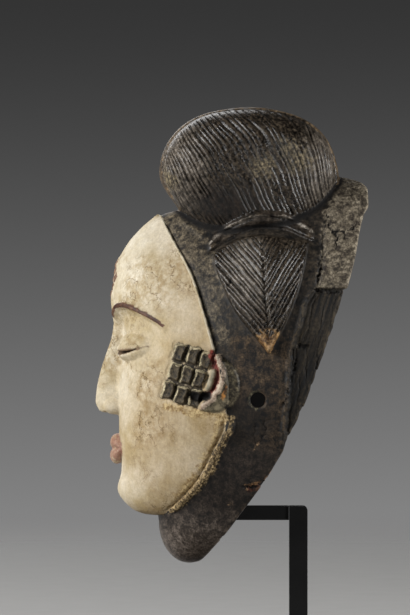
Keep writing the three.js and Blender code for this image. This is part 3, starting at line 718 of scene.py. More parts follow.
def groove_of(tree, number, sharpness):
    """1 at each whole number and 0 halfway between two. Also how far the number is from a whole one."""
    fold = add(tree, "ShaderNodeMath", {0: number, 1: 0.5}, operation="PINGPONG")
    near = add(tree, "ShaderNodeMath", {0: fold, 1: -2.0, 2: 1.0}, operation="MULTIPLY_ADD")
    return add(tree, "ShaderNodeMath", {0: near, 1: sharpness}, operation="POWER"), fold


def new_material(name):
    made = bpy.data.materials.new(name)
    made.use_nodes = True
    made.node_tree.nodes.clear()
    return made, made.node_tree


# Wear on the left side, in side view: points, half-width and depth

CRACKS = [
    ([(26.8, 60), (28.5, 59.5), (29.3, 59.9), (30.4, 59.1), (31.6, 59.4), (33.6, 59.3)], 0.3, 0.5),
    ([(29.8, 76.2), (30.3, 73.9), (31.2, 72.4), (32, 72.9), (33.5, 72.6)], 0.24, 0.5),
    ([(33.5, 72.6), (35.6, 73.4), (36.3, 74.6)], 0.24, 0.5),
    ([(31.5, 72.6), (32.1, 71.4), (31.7, 70.2), (32, 68.8)], 0.26, 0.45),
    ([(33.4, 72.8), (33.8, 71.4), (33.5, 70.8)], 0.24, 0.4),
    ([(27.9, 66.8), (28.3, 64.4), (27.6, 62)], 0.26, 0.4),
    ([(23.7, 47.9), (25.4, 47.7)], 0.5, 0.6),
    ([(23.2, 45), (22.2, 41.5), (21.3, 38.2), (20.4, 35)], 0.2, 0.4),
    ([(15.9, 31.8), (16.6, 29.5), (15.9, 28.2), (14.8, 26.2)], 0.22, 0.25),
    ([(14.3, 30.6), (13.9, 28.4), (14.4, 26.9)], 0.2, 0.2),
    ([(12, 17.2), (13.6, 17.2), (15.8, 18), (17.6, 19.5)], 0.4, 0.45),
    ([(13.1, 20), (13.2, 17.4)], 0.2, 0.2),
    ([(8.5, 61.2), (8.8, 61.7)], 0.4, 0.5),
    ([(6.8, 5.8), (7.8, 6.2)], 0.3, 0.2),
]
CHIP_EDGE = [(12, 17.7), (13.6, 17.8), (15.6, 18.6), (17.4, 20), (18.5, 21.6)]
SCRATCHES = [[(7.7, 13), (11.9, 14.6)], [(13.5, 24.7), (15.4, 27.6)], [(11.9, 19), (12.4, 16.6)]]
DUSTY = [(16, 86.7, 2), (24.4, 88.1, 2.4), (21.7, 90.4, 1.8), (-5, 84, 2)]


def crack_depth(x, y, z):
    """Depth of the cracks. They run ragged, and are wider in some places than in others."""
    depth = np.zeros(len(x))
    here = np.flatnonzero(x > 6)
    y, z = y[here], z[here]
    ragged_y = y + 0.2 * np.sin(4.3 * z + 1.2 * y) + 0.12 * np.sin(9.7 * z - 3 * y)
    ragged_z = z + 0.16 * np.sin(5.1 * y + 2 * z) + 0.1 * np.sin(11 * y - 4 * z)
    uneven = 1 + 0.35 * np.sin(1.9 * z + 2.3 * y) + 0.2 * np.sin(5.3 * y - 3.1 * z)
    for points, width, deep in CRACKS:
        near = along(points, ragged_y, ragged_z, width * uneven)
        depth[here] = np.maximum(depth[here], deep * near**0.6)
    return depth


def convexity(mesh):
    """How far each point stands out of its neighbours: above 0 on edges, below 0 in corners."""
    count = len(mesh.vertices)
    points = read_points(mesh.vertices, "co")
    normals = read_points(mesh.vertex_normals, "vector")
    ends = np.empty(len(mesh.edges) * 2, np.int32)
    mesh.edges.foreach_get("vertices", ends)
    a, b = ends.reshape(-1, 2).T
    degree = np.bincount(a, minlength=count) + np.bincount(b, minlength=count)

    def average(values):
        total = np.bincount(a, values[b], count) + np.bincount(b, values[a], count)
        return total / np.maximum(degree, 1)

    smooth = points.copy()
    for _ in range(4):
        smooth = np.stack([average(smooth[:, i]) for i in range(3)], 1)
    out = ((points - smooth) * normals).sum(1) / SHARE
    for _ in range(2):
        out = average(out)
    return out, normals


def places_on(mesh):
    """Where each point of the mesh lies on the main forms, in shares."""
    x, y, z = shares_of(mesh)
    side = np.abs(x)
    outer = hollow_field(side, y, z) > 1.4
    return SimpleNamespace(
        x=x, y=y, z=z, side=side, left=x > 6, outer=outer, on_side=(side > 12) & outer,
        shell=shell_field(side, y, z), crest=crest_field(side, y, z),
        from_rim=rim_back(shell_level(z)) - y, behind_face=y - face_edge(z),
    )


def cap_marks(p):
    """The cap behind the face, its rim, the side hole and the collar, with painted shade and a painted
    highlight.
    """
    y, z = p.y, p.z
    past_line = y - flange_line(z)
    low_cap = 3.2 * ramp(64, 54, z)
    from_hole = np.hypot(y - HOLE[0], z - HOLE[1])
    ring = 0.25 - np.abs(from_hole - HOLE_RADIUS - 0.25) - 0.5 * np.maximum(y - HOLE[0], 0)
    # Painted shade below the ear and the side hole.
    shade = 2.5 - 2.5 * from_middle(y, z, (11.5, 31.5), (5.5, 4.5))
    return {
        "from_rim": p.from_rim,
        "hollow": np.where(p.outer, -1, 1),
        "front_of_cap": only(z > 47, 4.5 - low_cap - np.abs(p.behind_face - 2.2)),
        # Painted shade in the corner where the crest meets the shell.
        "back_of_cap": np.minimum(np.minimum(-past_line, 50 - z), np.minimum(y - 9.5, z - 25)),
        "crease": only(p.outer & (p.side > 2), 1 - np.abs(p.shell - p.crest)),
        "rim_above_step": np.minimum(past_line, z - STEP_Z) - 9 * (p.crest < 0.4),
        # Painted highlight along the back edge of the rim above the step, where the back lamp catches it.
        "rim_below_step": np.minimum(np.minimum(past_line, STEP_Z - z), z - 25),
        "rim_edge_highlight": only((z > STEP_Z) & p.outer, 0.45 - p.from_rim),
        "hole_edge": only(p.on_side, ring),
        "shade_under_hole": only(p.on_side, shade),
        "collar": 27.5 - z - 0.25 * (y - 8),
        "collar_low": 8 - z,
    }


def face_marks(p):
    """The white with its painted shade towards the back, its edge and dirt, and what is painted in front
    view.
    """
    y, z, side, behind = p.y, p.z, p.side, p.behind_face
    face = np.minimum(np.minimum(-behind, FACE_TOP - z), z - FACE_LOW - 0.1)
    # Painted shade: darker on the cheek, lighter on the chin.
    cheek = 7 * bell(z - 30, 9) - 6 * bell(z - 14, 4)
    jaw = np.abs(behind - 0.85) + np.maximum(z - 32.5, 0) + np.maximum(12.3 - z, 0)
    under_ear = near_line([(-4.6, 35), (0, 33.6), (4.5, 33), (7.4, 31.8)], y, z, 1)
    down_jaw = near_line([(7, 31.5), (4.6, 25.5), (1.2, 19.4), (-3, 14.4)], y, z, 0.5)
    lips = 0.1 - np.minimum(lip_field(side, y, z, 1), lip_field(side, y, z, -1))
    brow = 0.55 - np.abs(z - brow_line(side)) - ramp(16.8, 18, side) - ramp(2.6, 1.6, side)
    scales = forehead_scales(side, z) * 6 - 0.8
    return {
        "face": only(p.outer, np.minimum(face, p.crest * 2 - 0.3)),
        "hairline": only((z > 45) & (p.crest > 1), 0.25 - np.abs(behind + 0.2)),
        "face_shade_towards_back": 7 + np.maximum(behind, -25) - 0.5 * np.maximum(z - 40, 0) + cheek,
        "stain": only(p.on_side & (behind < 1), np.maximum(under_ear, down_jaw)),
        "welt": only(p.outer, 1.15 - 0.45 * ramp(20, 31, z) - jaw),
        "lips": only((side < 7) & (y < -10) & (np.abs(z - MOUTH_Z) < 5), lips),
        "brows": only(behind < -1, brow),
        "forehead_scales": only((y < -10) & (side < 7), scales),
        "eye_rims": only((y < -8) & (side < 15), eye_slit(side, z) + 0.3),
    }


def scar_and_ear_marks(p):
    """The nine blocks before the ear, with a painted highlight on their lit edges, and the parts of the ear.
    """
    block, a, b, within = scar_blocks(p.y, p.z)
    # Painted highlight on the blocks' front and upper edges, where the light falls.
    lit = np.maximum(-a - SCAR_HALF[0], b - SCAR_HALF[1]) + 0.3
    marks = {
        "scar_patch": only(p.on_side, np.minimum(block + 0.5, within)),
        "scar_block": only(p.on_side, block - 0.15),
        "scar_edge_highlight": only(p.on_side & (block > -0.2), lit),
        "ear": only(p.on_side, np.minimum(*ear_place(p.y, p.z))),
    }
    for name, points, half in (
        ("ear_gap", EAR_GAP, 0.8),
        ("ear_pit", EAR_PIT, 1),
        ("ear_lobe", EAR_LOBE, 0.65),
        ("ear_rim", EAR_RIM, 0.6),
        ("ear_worn", [(7.9, 39.1), (7.5, 37.6), (7, 36.6)], 0.35),
    ):
        marks[name] = only(p.on_side, near_line(points, p.y, p.z, half))
    return marks


# Ovals of painted sheen where the lamps catch the crest and the tress: middle, half-widths and strength.
PAINTED_SHEEN_SPOTS = [((-2.5, 88), (5, 8), 2.6), ((12.2, 63.5), (3.6, 7), 2.2), ((28.6, 87), (3.4, 7), 2.2)]


def hair_marks(p):
    """The crest, tress and roll: paint, painted shade and highlights, and the strands cut into them."""
    y, z, side = p.y, p.z, p.side
    inside, across, leaf = tress_place(y, z)
    on_tress = (side > 8) & p.outer & (p.crest > 0.6) & (z < tress_top(y) + 0.3)
    hair = only(p.outer, np.maximum(only(on_tress, inside), 0.7 - p.crest))
    tip = 51.2 - z - 0.6 * across + np.minimum(inside, 0) * 30
    _, up, out = crest_place(y, z)
    # Painted shade on the lower middle of the crest, where it curves in under its bulge.
    shade = 3 - 3 * from_middle(y, z, (8, 78.5), (8.5, 4.2))
    # Painted sheen: a lighter tone where the lamps in front and behind shine on the crest and the tress.
    painted_sheen = np.max([much - much * from_middle(y, z, *oval) for *oval, much in PAINTED_SHEEN_SPOTS], axis=0)
    roll = (1.05 - np.abs(z - roll_line(y)) / 1.75) * 1.75
    roll = only((side > 8) & p.outer & (y > 4.2) & (y < 27), roll)
    # Painted highlight along the roll's upper part, left and right of its middle.
    ridge = 0.35 - 1.7 * np.abs(roll_place(y, z) - 0.45) - 0.5 * bell(y - 17, 2.5)
    uneven = 0.85 + 0.15 * np.sin(2.399 * np.round(leaf) ** 2)
    tress_depth = ramp(0.15, 0.6, inside) * ramp(47.5, 51.5, z) * uneven
    return {
        "hair": hair,
        "tress_tip": only(on_tress, tip),
        "comb": only((p.crest < 0.6) & (up > -0.5), (out - 0.975) * 16.7),
        "low_crest_shade": only((p.crest < 0.6) & (side > 3), shade),
        "painted_sheen": only(hair > 0.1, painted_sheen),
        "roll": roll,
        "roll_highlight": only(roll > 0, ridge),
        "strand": np.where(on_tress, leaf, crest_strand(y, z)),
        "strand_depth": np.where(on_tress, tress_depth, crest_depth(p, out)) * p.outer,
    }


def crest_depth(p, out):
    """How deep the crest's strands are cut, from 0 to 1: less on worn spots and low in the middle."""
    y, z = p.y, p.z
    depth = ramp(0.5, 0.2, p.crest) * ramp(1, 2.2, p.side) * ramp(0.965, 0.925, out)
    depth *= ramp(0.3, 1.2, p.shell - p.crest)
    uneven = 0.72 + 0.28 * np.sin(2.399 * np.round(crest_strand(y, z)) ** 2 + 0.25 * z)
    worn = np.sin(0.5 * y + 0.8) + np.sin(0.37 * z - 0.3 * y) + np.sin(0.9 * z + 0.6 * y + 1)
    worn = 0.45 + 0.55 * ramp(-2.4, -1.2, worn)
    low_middle = ramp(1, 0.5, from_middle(y, z, (6, 78), (6.5, 3.2)))
    under_roll = (y > 3.5) & (y < 27.5) & (z < roll_line(y) + 1.9)
    return depth * np.where(under_roll, 0, uneven * worn * (1 - 0.8 * low_middle))


def wear_marks(p):
    """Cracks, the chip, scratches and dust, all on the left side alone."""
    y, z = p.y, p.z
    torn = near_line([(12.8, 16.8), (14.6, 17), (17.2, 18.6)], y, z, 0.7)
    lines = np.max([near_line(points, y, z, 0.12) for points in SCRATCHES], axis=0)
    dust = np.max([1 - np.hypot(y - a, z - b) / r for a, b, r in DUSTY], axis=0)
    return {
        "crack": np.where(p.left, crack_depth(p.x, y, z) * 4 - 1, -1),
        "chip": only(p.left, near_line(CHIP_EDGE, y, z, 0.2)),
        "chip_inside": only(p.left, torn),
        "scratch": only(p.left, lines),
        "dust": np.where(p.left & p.outer, dust, -1),
    }


def mark(mesh):
    """Stores on the surface where each part of the carving and its paint lies, in shares."""
    p = places_on(mesh)
    put(mesh, "edge", convexity(mesh)[0] * 12)
    for marks in (cap_marks(p), face_marks(p), scar_and_ear_marks(p), hair_marks(p), wear_marks(p)):
        for name, values in marks.items():
            put(mesh, name, values)


# The strands of hair, cut along the surface


def strand_cutter():
    """Geometry Nodes: sinks the surface along the whole numbers of the stored strand count."""
    tree = bpy.data.node_groups.new("Strands of hair", "GeometryNodeTree")
    for way, name, kind in (
        ("INPUT", "Surface", "Geometry"),
        ("INPUT", "Groove depth", "Float"),
        ("INPUT", "Groove sharpness", "Float"),
        ("INPUT", "Wood", "Material"),
        ("OUTPUT", "Surface", "Geometry"),
    ):
        tree.interface.new_socket(name, in_out=way, socket_type="NodeSocket" + kind)
    given = tree.nodes.new("NodeGroupInput").outputs
    number = add(tree, "GeometryNodeInputNamedAttribute", {"Name": "strand"}, data_type="FLOAT")
    where = add(tree, "GeometryNodeInputNamedAttribute", {"Name": "strand_depth"}, data_type="FLOAT")
    groove, _ = groove_of(tree, number, given["Groove sharpness"])
    cut = add(tree, "ShaderNodeMath", {0: groove, 1: where}, operation="MULTIPLY")
    sink = add(tree, "ShaderNodeMath", {0: cut, 1: given["Groove depth"]}, operation="MULTIPLY")
    inwards = add(tree, "ShaderNodeMath", {0: sink, 1: -1.0}, operation="MULTIPLY")
    normal = add(tree, "GeometryNodeInputNormal", {})
    offset = add(tree, "ShaderNodeVectorMath", {0: normal, "Scale": inwards}, operation="SCALE")
    moved = add(tree, "GeometryNodeSetPosition", {"Geometry": given["Surface"], "Offset": offset})
    real = add(tree, "GeometryNodeRealizeInstances", {"Geometry": moved})
    done = add(tree, "GeometryNodeSetMaterial", {"Geometry": real, "Material": given["Wood"]})
    tree.links.new(done, tree.nodes.new("NodeGroupOutput").inputs["Surface"])
    return tree


def finished(name, mesh, tree, settings, triangles):
    """The mesh with its nodes run and thinned to a number of triangles."""
    rough = new_object(name + "_rough", mesh)
    cutter = rough.modifiers.new("Strands", "NODES")
    cutter.node_group = tree
    for item in tree.interface.items_tree:
        if item.in_out == "INPUT" and item.name in settings:
            cutter[item.identifier] = settings[item.name]
    thinner = rough.modifiers.new("Thinner", "DECIMATE")
    thinner.ratio = min(1, triangles / (2 * len(mesh.polygons)))
    graph = bpy.context.evaluated_depsgraph_get()
    plain = bpy.data.meshes.new_from_object(rough.evaluated_get(graph), depsgraph=graph)
    bpy.data.objects.remove(rough)
    plain.name = name
    plain.shade_smooth()
    return new_object(name, plain)


def carve_mask(material):
    points, quads = mirrored(*skin_of(carving, FIELD_LOW, FIELD_HIGH, GRID))
    points = points * SHARE + (0, MASK_Y, MASK_LOW)
    mesh = mesh_of("mask_rough", points, quads)
    x, y, z = shares_of(mesh)
    _, normals = convexity(mesh)
    hand = 0.07 * (np.sin(0.31 * z + 0.4 * x + 1) + np.sin(0.47 * y - 0.23 * x + 2) * np.cos(0.19 * z))
    sink = crack_depth(x, y, z) * ramp(1, 1.8, hollow_field(np.abs(x), y, z)) - hand
    mesh.vertices.foreach_set("co", (points - normals * sink[:, None] * SHARE).astype(np.float32).ravel())
    mesh.update()
    mark(mesh)
    settings = {"Groove depth": 0.0012, "Groove sharpness": 2.8, "Wood": material}
    return finished("carved_mask", mesh, strand_cutter(), settings, TRIANGLES)


# Carved light wood under coats of paint and stain. Kaolin gives a chalky white with almost no shine;
# the black stain is thin and handled, so its ridges have a soft grey sheen, partly painted in as lighter
# tones; bare wood shows warm brown where paint is worn off. Some coats are painted shade or painted
# highlights, as marked below.
# Each coat: where it lies, its two tones, the pattern between them, how ragged its edge is and how soft,
# in shares, and its roughness.

COATS = [
    ("front_of_cap", "241D15", "8F826B", "mottle", 2.5, 1.6, 0.6),
    ("back_of_cap", "0A0806", "64523D", "mottle", 2.0, 1.2, 0.68),
    ("rim_above_step", "40372D", "A39884", "mottle", 1.2, 0.5, 0.72),
    ("rim_below_step", "040302", "41382A", "streak", 1.6, 0.4, 0.75),
    # Painted highlight along the back edge of the rim.
    ("rim_edge_highlight", "7E725E", "C4B9A4", "mottle", 0.5, 0.3, 0.6),
    ("collar", "1E1814", "4A3F36", "mottle", 2.2, 2.5, 0.5),
    # Painted shade below the ear and the side hole.
    ("shade_under_hole", "070504", "32281D", "mottle", 2.2, 1.5, 0.7),
    ("collar_low", "6C6057", "8A7E74", "mottle", 3.0, 5.0, 0.4),
    ("hole_edge", "2A2820", "6B6852", "fleck", 0.3, 0.2, 0.7),
    ("hair", "16120E", "564C40", "fleck", 0.3, 0.3, 0.27),
    # Painted shade on the lower middle of the crest.
    ("low_crest_shade", "0B0807", "3A3028", "mottle", 1.6, 1.6, 0.4),
    # Painted sheen on the crest and the tress.
    ("painted_sheen", "625A50", "9C9286", "mottle", 1.2, 1.8, 0.32),
    ("dust", "51483A", "A09275", "fleck", 1.2, 0.7, 0.7),
    ("roll", "1E1A17", "5E554C", "mottle", 0.3, 0.4, 0.28),
    # Painted highlight on the roll's upper part.
    ("roll_highlight", "6A6158", "C2BAAF", "mottle", 0.3, 0.3, 0.3),
    # Painted shade in the corner where the crest meets the shell.
    ("crease", "090706", "1A1410", "mottle", 0.6, 0.5, 0.9),
    ("face", "BFAE88", "E3DAC6", "cloud", 0.5, 0.12, 0.75),
    ("hairline", "CDBD98", "EFE6CF", "mottle", 0.12, 0.12, 0.7),
    ("stain", "8C6F46", "CDB687", "fleck", 1.4, 0.9, 0.8),
    ("welt", "54401F", "C7AE82", "fleck", 0.9, 0.3, 0.8),
    ("scar_patch", "17120C", "4A4030", "fleck", 0.3, 0.2, 0.8),
    ("scar_block", "120E0A", "564B38", "fleck", 0.3, 0.2, 0.7),
    # Painted highlight on the front and upper edges of the scar blocks.
    ("scar_edge_highlight", "7C7157", "C9BD9C", "fleck", 0.35, 0.12, 0.75),
    ("ear", "2C261C", "857B62", "mottle", 0.5, 0.3, 0.5),
    ("ear_gap", "3A1512", "9A4236", "mottle", 0.4, 0.25, 0.6),
    ("ear_rim", "8F7664", "CDBBA5", "mottle", 0.7, 0.25, 0.5),
    ("ear_worn", "8A5322", "C58A48", "mottle", 0.5, 0.25, 0.5),
    ("ear_lobe", "6E6855", "A8A08A", "mottle", 0.5, 0.25, 0.7),
    ("ear_pit", "080706", "14100E", "mottle", 0.6, 0.3, 0.8),
    ("tress_tip", "54371F", "C09763", "mottle", 2.2, 0.8, 0.5),
    ("comb", "2E251D", "9C8567", "mottle", 0.5, 0.12, 0.5),
    ("lips", "8A5846", "B08D78", "mottle", 0.35, 0.14, 0.5),
    ("brows", "3E2419", "6B4632", "mottle", 0.2, 0.12, 0.55),
    ("forehead_scales", "55352A", "8D6E58", "mottle", 0.8, 0.5, 0.6),
    ("eye_rims", "4A3626", "8B7358", "mottle", 0.3, 0.2, 0.7),
    ("hollow", "4A3422", "8E6B49", "grain", 0.3, 0.4, 0.72),
    ("chip_inside", "2B140C", "5E3018", "mottle", 0.9, 0.5, 0.7),
    ("chip", "6B4A30", "B98F63", "mottle", 0.5, 0.25, 0.6),
    ("scratch", "8A6F52", "B99A78", "mottle", 0.3, 0.3, 0.6),
    ("crack", "0D0907", "1A130E", "mottle", 0.5, 0.4, 0.85),
]


def wood_patterns(tree, place, from_rim):
    """Noises that run from 0 to 1. Each has its size in millimetres, its detail and the range it shows."""
    upright = add(tree, "ShaderNodeMapping", {"Vector": place, "Scale": (1, 1, 0.06)})
    along_rim = add(tree, "ShaderNodeSeparateXYZ", {0: upright}, out="Z")
    across = add(tree, "ShaderNodeMath", {0: from_rim, 1: SHARE}, operation="MULTIPLY")
    down_rim = add(tree, "ShaderNodeCombineXYZ", {0: across, 1: 0.0, 2: along_rim})
    patterns = {}
    for name, size, detail, rough, low, high, where in (
        ("cloud", 28, 5, 0.6, 0.34, 0.66, place),
        ("mottle", 5, 7, 0.7, 0.4, 0.6, place),
        ("fleck", 2.2, 5, 0.7, 0.4, 0.6, place),
        ("grit", 1.2, 3, 0.6, 0.34, 0.66, place),
        ("grain", 2.6, 5, 0.6, 0.32, 0.68, upright),
        ("streak", 2.4, 5, 0.7, 0.42, 0.6, down_rim),
        ("vein", 17, 4, 0.6, 0, 1, place),
        ("patch", 45, 3, 0.5, 0.46, 0.6, place),
    ):
        inputs = {"Vector": where, "Scale": 1000 / size, "Detail": detail, "Roughness": rough}
        noise = add(tree, "ShaderNodeTexNoise", inputs)
        patterns[name] = add(tree, "ShaderNodeMapRange", {0: noise, 1: low, 2: high})
    return patterns


def coat_layers(tree, stored, patterns):
    """A cover, a tone, a way to blend and a roughness for each coat, by name."""
    layers = {}
    for where, dark, light, pattern, ragged, soft, rough in COATS:
        tones = {0: patterns[pattern], 6: linear(dark), 7: linear(light)}
        tone = add(tree, "ShaderNodeMix", tones, out=2, data_type="RGBA")
        shift = {0: patterns["mottle"], 1: ragged, 2: -ragged / 2}
        shift = add(tree, "ShaderNodeMath", shift, operation="MULTIPLY_ADD")
        edge = add(tree, "ShaderNodeMath", {0: stored[where], 1: shift}, operation="ADD")
        fade = {0: edge, 1: -soft, 2: soft}
        cover = add(tree, "ShaderNodeMapRange", fade, interpolation_type="SMOOTHSTEP")
        layers[where] = (cover, tone, "MIX", rough)
    return layers


def white_layers(tree, stored, patterns):
    """Painted shade makes the white yellower and darker towards the back. Smudges and thin lines of dirt lie
    on it.
    """
    white = add(tree, "ShaderNodeMapRange", {0: stored["face"], 1: -0.1, 2: 0.1})
    # Painted shade: the white darker and yellower towards the back of the face.
    back = {0: stored["face_shade_towards_back"], 1: -20.0, 2: 2.0}
    back = add(tree, "ShaderNodeMapRange", back, interpolation_type="SMOOTHSTEP")
    vein = add(tree, "ShaderNodeMath", {0: patterns["vein"], 1: 0.5}, operation="SUBTRACT")
    vein = add(tree, "ShaderNodeMath", {0: vein}, operation="ABSOLUTE")
    vein = add(tree, "ShaderNodeMapRange", {0: vein, 1: 0.014, 2: 0.0})
    here = add(tree, "ShaderNodeMath", {0: patterns["patch"], 1: white}, operation="MULTIPLY")
    layers = []
    for cover, where, code in (
        (back, white, "E6DCCF"),
        (patterns["mottle"], here, "D6CAB4"),
        (vein, here, "A39682"),
    ):
        cover = add(tree, "ShaderNodeMath", {0: cover, 1: where}, operation="MULTIPLY")
        layers.append((cover, linear(code), "MULTIPLY", None))
    return layers


def worn_layers(tree, stored, patterns):
    """Specks, strong on the dark coats and faint on the white, then worn lighter edges and darker concave
    corners.
    """
    on_face = add(tree, "ShaderNodeMapRange", {0: stored["face"], 1: -0.2, 2: 0.2, 3: 0.8, 4: 0.16})
    layers = []
    for pattern, code in (("fleck", "6E675C"), ("grit", "857E73")):
        specks = {0: patterns[pattern], 6: linear(code), 7: linear("FFFFFF")}
        specks = add(tree, "ShaderNodeMix", specks, out=2, data_type="RGBA")
        layers.append((on_face, specks, "MULTIPLY", None))
    rub = add(tree, "ShaderNodeMath", {0: patterns["mottle"], 1: 1.5, 2: 0.25}, operation="MULTIPLY_ADD")
    rub = add(tree, "ShaderNodeMath", {0: stored["edge"], 1: rub}, operation="MULTIPLY")
    # Lighter on convex edges, darker in concave corners.
    for low, high, code, most in ((0.5, 2.5, "8C7A60", 0.35), (-0.4, -2.0, "120D09", 0.65)):
        cover = add(tree, "ShaderNodeMapRange", {0: rub, 1: low, 2: high, 3: 0.0, 4: most})
        layers.append((cover, linear(code), "MIX", None))
    return layers


def strand_layers(tree, stored):
    """The strands: painted shade in each groove and a painted highlight on the ridge tops. Also gives the
    groove.
    """
    deep, fold = groove_of(tree, stored["strand"], 3.0)
    deep = add(tree, "ShaderNodeMath", {0: deep, 1: stored["strand_depth"]}, operation="MULTIPLY")
    # Painted shade in the grooves.
    dark = add(tree, "ShaderNodeMath", {0: deep, 1: 0.8}, operation="MULTIPLY")
    # Painted highlight on the ridge tops.
    high = add(tree, "ShaderNodeMath", {0: fold, 1: stored["strand_depth"]}, operation="MULTIPLY")
    high = add(tree, "ShaderNodeMapRange", {0: high, 1: 0.3, 2: 0.5, 3: 0.0, 4: 0.3})
    return [(dark, linear("0A0806"), "MIX", None), (high, linear("6A6055"), "MIX", None)], deep


def painted_wood():
    made, tree = new_material("Carved wood with kaolin and black stain")
    place = add(tree, "ShaderNodeTexCoord", {}, out="Object")
    names = ["strand", "strand_depth", "edge", "from_rim", "face_shade_towards_back"] + [coat[0] for coat in COATS]
    stored = {n: add(tree, "ShaderNodeAttribute", {}, out="Fac", attribute_name=n) for n in names}
    patterns = wood_patterns(tree, place, stored["from_rim"])
    layers = []
    for name, layer in coat_layers(tree, stored, patterns).items():
        layers += white_layers(tree, stored, patterns) if name == "hairline" else []
        layers.append(layer)
    strands, groove = strand_layers(tree, stored)
    black = {0: patterns["mottle"], 6: linear("0C0A07"), 7: linear("4A4033")}
    colour = add(tree, "ShaderNodeMix", black, out=2, data_type="RGBA")
    shine = add(tree, "ShaderNodeMapRange", {0: patterns["mottle"], 3: 0.55, 4: 0.7})
    for cover, tone, blend, rough in layers + worn_layers(tree, stored, patterns) + strands:
        both = {0: cover, 6: colour, 7: tone}
        colour = add(tree, "ShaderNodeMix", both, out=2, data_type="RGBA", blend_type=blend)
        if rough:
            shine = add(tree, "ShaderNodeMix", {0: cover, 2: shine, 3: rough}, data_type="FLOAT")
    # Pores, grain, tool marks and the grooves between strands, in millimetres of height
    height = add(tree, "ShaderNodeMath", {0: patterns["grit"], 1: 0.06}, operation="MULTIPLY")
    for pattern, much in ((patterns["grain"], 0.1), (patterns["mottle"], 0.12), (groove, -0.6)):
        height = add(tree, "ShaderNodeMath", {0: pattern, 1: much, 2: height}, operation="MULTIPLY_ADD")
    bump = add(tree, "ShaderNodeBump", {"Height": height, "Distance": 0.001, "Strength": 0.8})
    surface = {"Base Color": colour, "Roughness": shine, "Normal": bump, "Specular IOR Level": 0.32}
    shader = add(tree, "ShaderNodeBsdfPrincipled", surface)
    add(tree, "ShaderNodeOutputMaterial", {"Surface": shader})
    return made


# Steel bar with a matt black powder coat: a fine even grain that scatters the light.


def black_steel():
    made, tree = new_material("Powder-coated black steel")
    place = add(tree, "ShaderNodeTexCoord", {}, out="Object")
    grain = add(tree, "ShaderNodeTexNoise", {"Vector": place, "Scale": 1000 / 0.9, "Detail": 3})
    smear = add(tree, "ShaderNodeTexNoise", {"Vector": place, "Scale": 1000 / 35, "Detail": 4})
    tones = {0: smear, 6: linear("0A0A0A"), 7: linear("121212")}
    colour = add(tree, "ShaderNodeMix", tones, out=2, data_type="RGBA")
    rough = add(tree, "ShaderNodeMapRange", {0: smear, 3: 0.5, 4: 0.66})
    bump = add(tree, "ShaderNodeBump", {"Height": grain, "Distance": 0.0001, "Strength": 0.5})
    surface = {"Base Color": colour, "Roughness": rough, "Normal": bump, "Specular IOR Level": 0.2}
    shader = add(tree, "ShaderNodeBsdfPrincipled", surface)
    add(tree, "ShaderNodeOutputMaterial", {"Surface": shader})
    return made


# Pale paper floor: matt, with a faint mottle. It fades out towards its rim.


def pale_floor():
    made, tree = new_material("Pale studio paper")
    place = add(tree, "ShaderNodeTexCoord", {}, out="Object")
    mottle = add(tree, "ShaderNodeTexNoise", {"Vector": place, "Scale": 40, "Detail": 4})
    tones = {0: mottle, 6: linear("A8A7A5"), 7: linear("B1B0AE")}
    colour = add(tree, "ShaderNodeMix", tones, out=2, data_type="RGBA")
    far = add(tree, "ShaderNodeVectorMath", {0: place}, out="Value", operation="LENGTH")
    fade = {0: far, 1: FLOOR_RADIUS, 2: 0.5}
    shown = add(tree, "ShaderNodeMapRange", fade, interpolation_type="SMOOTHSTEP")
    surface = {"Base Color": colour, "Roughness": 0.9, "Alpha": shown}
    shader = add(tree, "ShaderNodeBsdfPrincipled", surface)
    add(tree, "ShaderNodeOutputMaterial", {"Surface": shader})
    return made


# The scene

# The picture is FRAME_HEIGHT high at the mask's middle plane. The lamps look at MIDDLE.
FLOOR_RADIUS = 2.2
FLOOR_SIDES = 96
CAMERA = (3.0, -0.0198, 0.2284)
SENSOR = 36
FRAME_HEIGHT = 0.4068
MIDDLE = (0, 0, 0.22)


def make_floor():
    angles = np.linspace(0, 2 * math.pi, FLOOR_SIDES, endpoint=False)
    ring = [(FLOOR_RADIUS * math.cos(a), FLOOR_RADIUS * math.sin(a), 0) for a in angles]
    mesh = bpy.data.meshes.new("floor")
    mesh.from_pydata(ring, [], [list(range(FLOOR_SIDES))])
    mesh.materials.append(pale_floor())
    floor = new_object("floor", mesh)


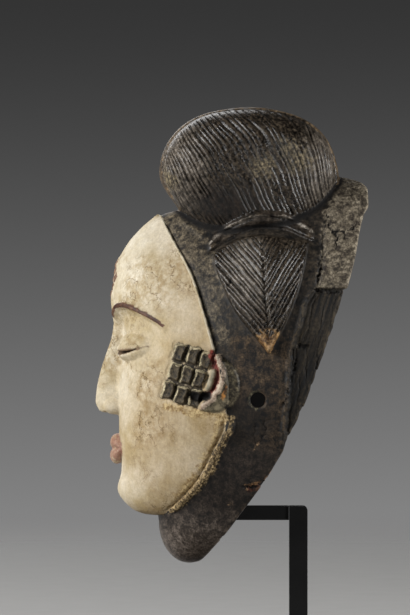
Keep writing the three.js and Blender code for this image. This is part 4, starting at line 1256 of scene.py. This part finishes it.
def make_camera():
    """Level, at the height of the mask's middle, and square to its left side."""
    camera = new_object("camera", bpy.data.cameras.new("camera"))
    camera.location = CAMERA
    camera.rotation_euler = (math.pi / 2, 0, math.pi / 2)
    camera.data.sensor_fit = "VERTICAL"
    camera.data.sensor_height = SENSOR
    camera.data.lens = SENSOR * CAMERA[0] / FRAME_HEIGHT
    camera.data.clip_start = 0.05
    bpy.context.scene.camera = camera


def make_lamp(name, place, size, watts):
    """A round soft lamp that looks at the middle of the mask."""
    lamp = new_object(name, bpy.data.lights.new(name, "AREA"))
    lamp.location = place
    lamp.rotation_euler = (Vector(MIDDLE) - Vector(place)).to_track_quat("-Z", "Y").to_euler()
    lamp.data.shape = "DISK"
    lamp.data.size = size
    lamp.data.energy = watts


def make_world():
    """A grey studio that is darker above than below."""
    world = bpy.data.worlds.new("studio")
    bpy.context.scene.world = world
    world.use_nodes = True
    tree = world.node_tree
    tree.nodes.clear()
    around = add(tree, "ShaderNodeTexCoord", {}, out="Generated")
    up = add(tree, "ShaderNodeSeparateXYZ", {0: around}, out="Z")
    share = add(tree, "ShaderNodeMapRange", {0: up, 1: 0.072, 2: -0.072})
    share = add(tree, "ShaderNodeMath", {0: share, 1: 1.6}, operation="POWER")
    tones = {0: share, 6: linear("333333"), 7: linear("959595")}
    colour = add(tree, "ShaderNodeMix", tones, out=2, data_type="RGBA")
    shader = add(tree, "ShaderNodeBackground", {"Color": colour, "Strength": 1.0})
    add(tree, "ShaderNodeOutputWorld", {"Surface": shader})


bpy.context.scene.view_settings.view_transform = "Standard"
make_camera()
make_world()
make_floor()
make_lamp("soft_front", (0.55, -1.7, 0.95), 0.55, 35)
make_lamp("soft_back", (0.6, 1.6, 0.65), 0.5, 28)
make_lamp("soft_side", (1.26, -1.45, 0.76), 0.5, 12)
make_lamp("soft_right", (-1.8, -0.6, 1.2), 1.2, 10)

steel = black_steel()
for name in ("stand_bracket", "stand_post", "stand_foot"):
    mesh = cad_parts[name].data
    for i in range(len(mesh.materials)):
        mesh.materials[i] = steel

mask = carve_mask(painted_wood())
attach(mask, "root")
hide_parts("mask")
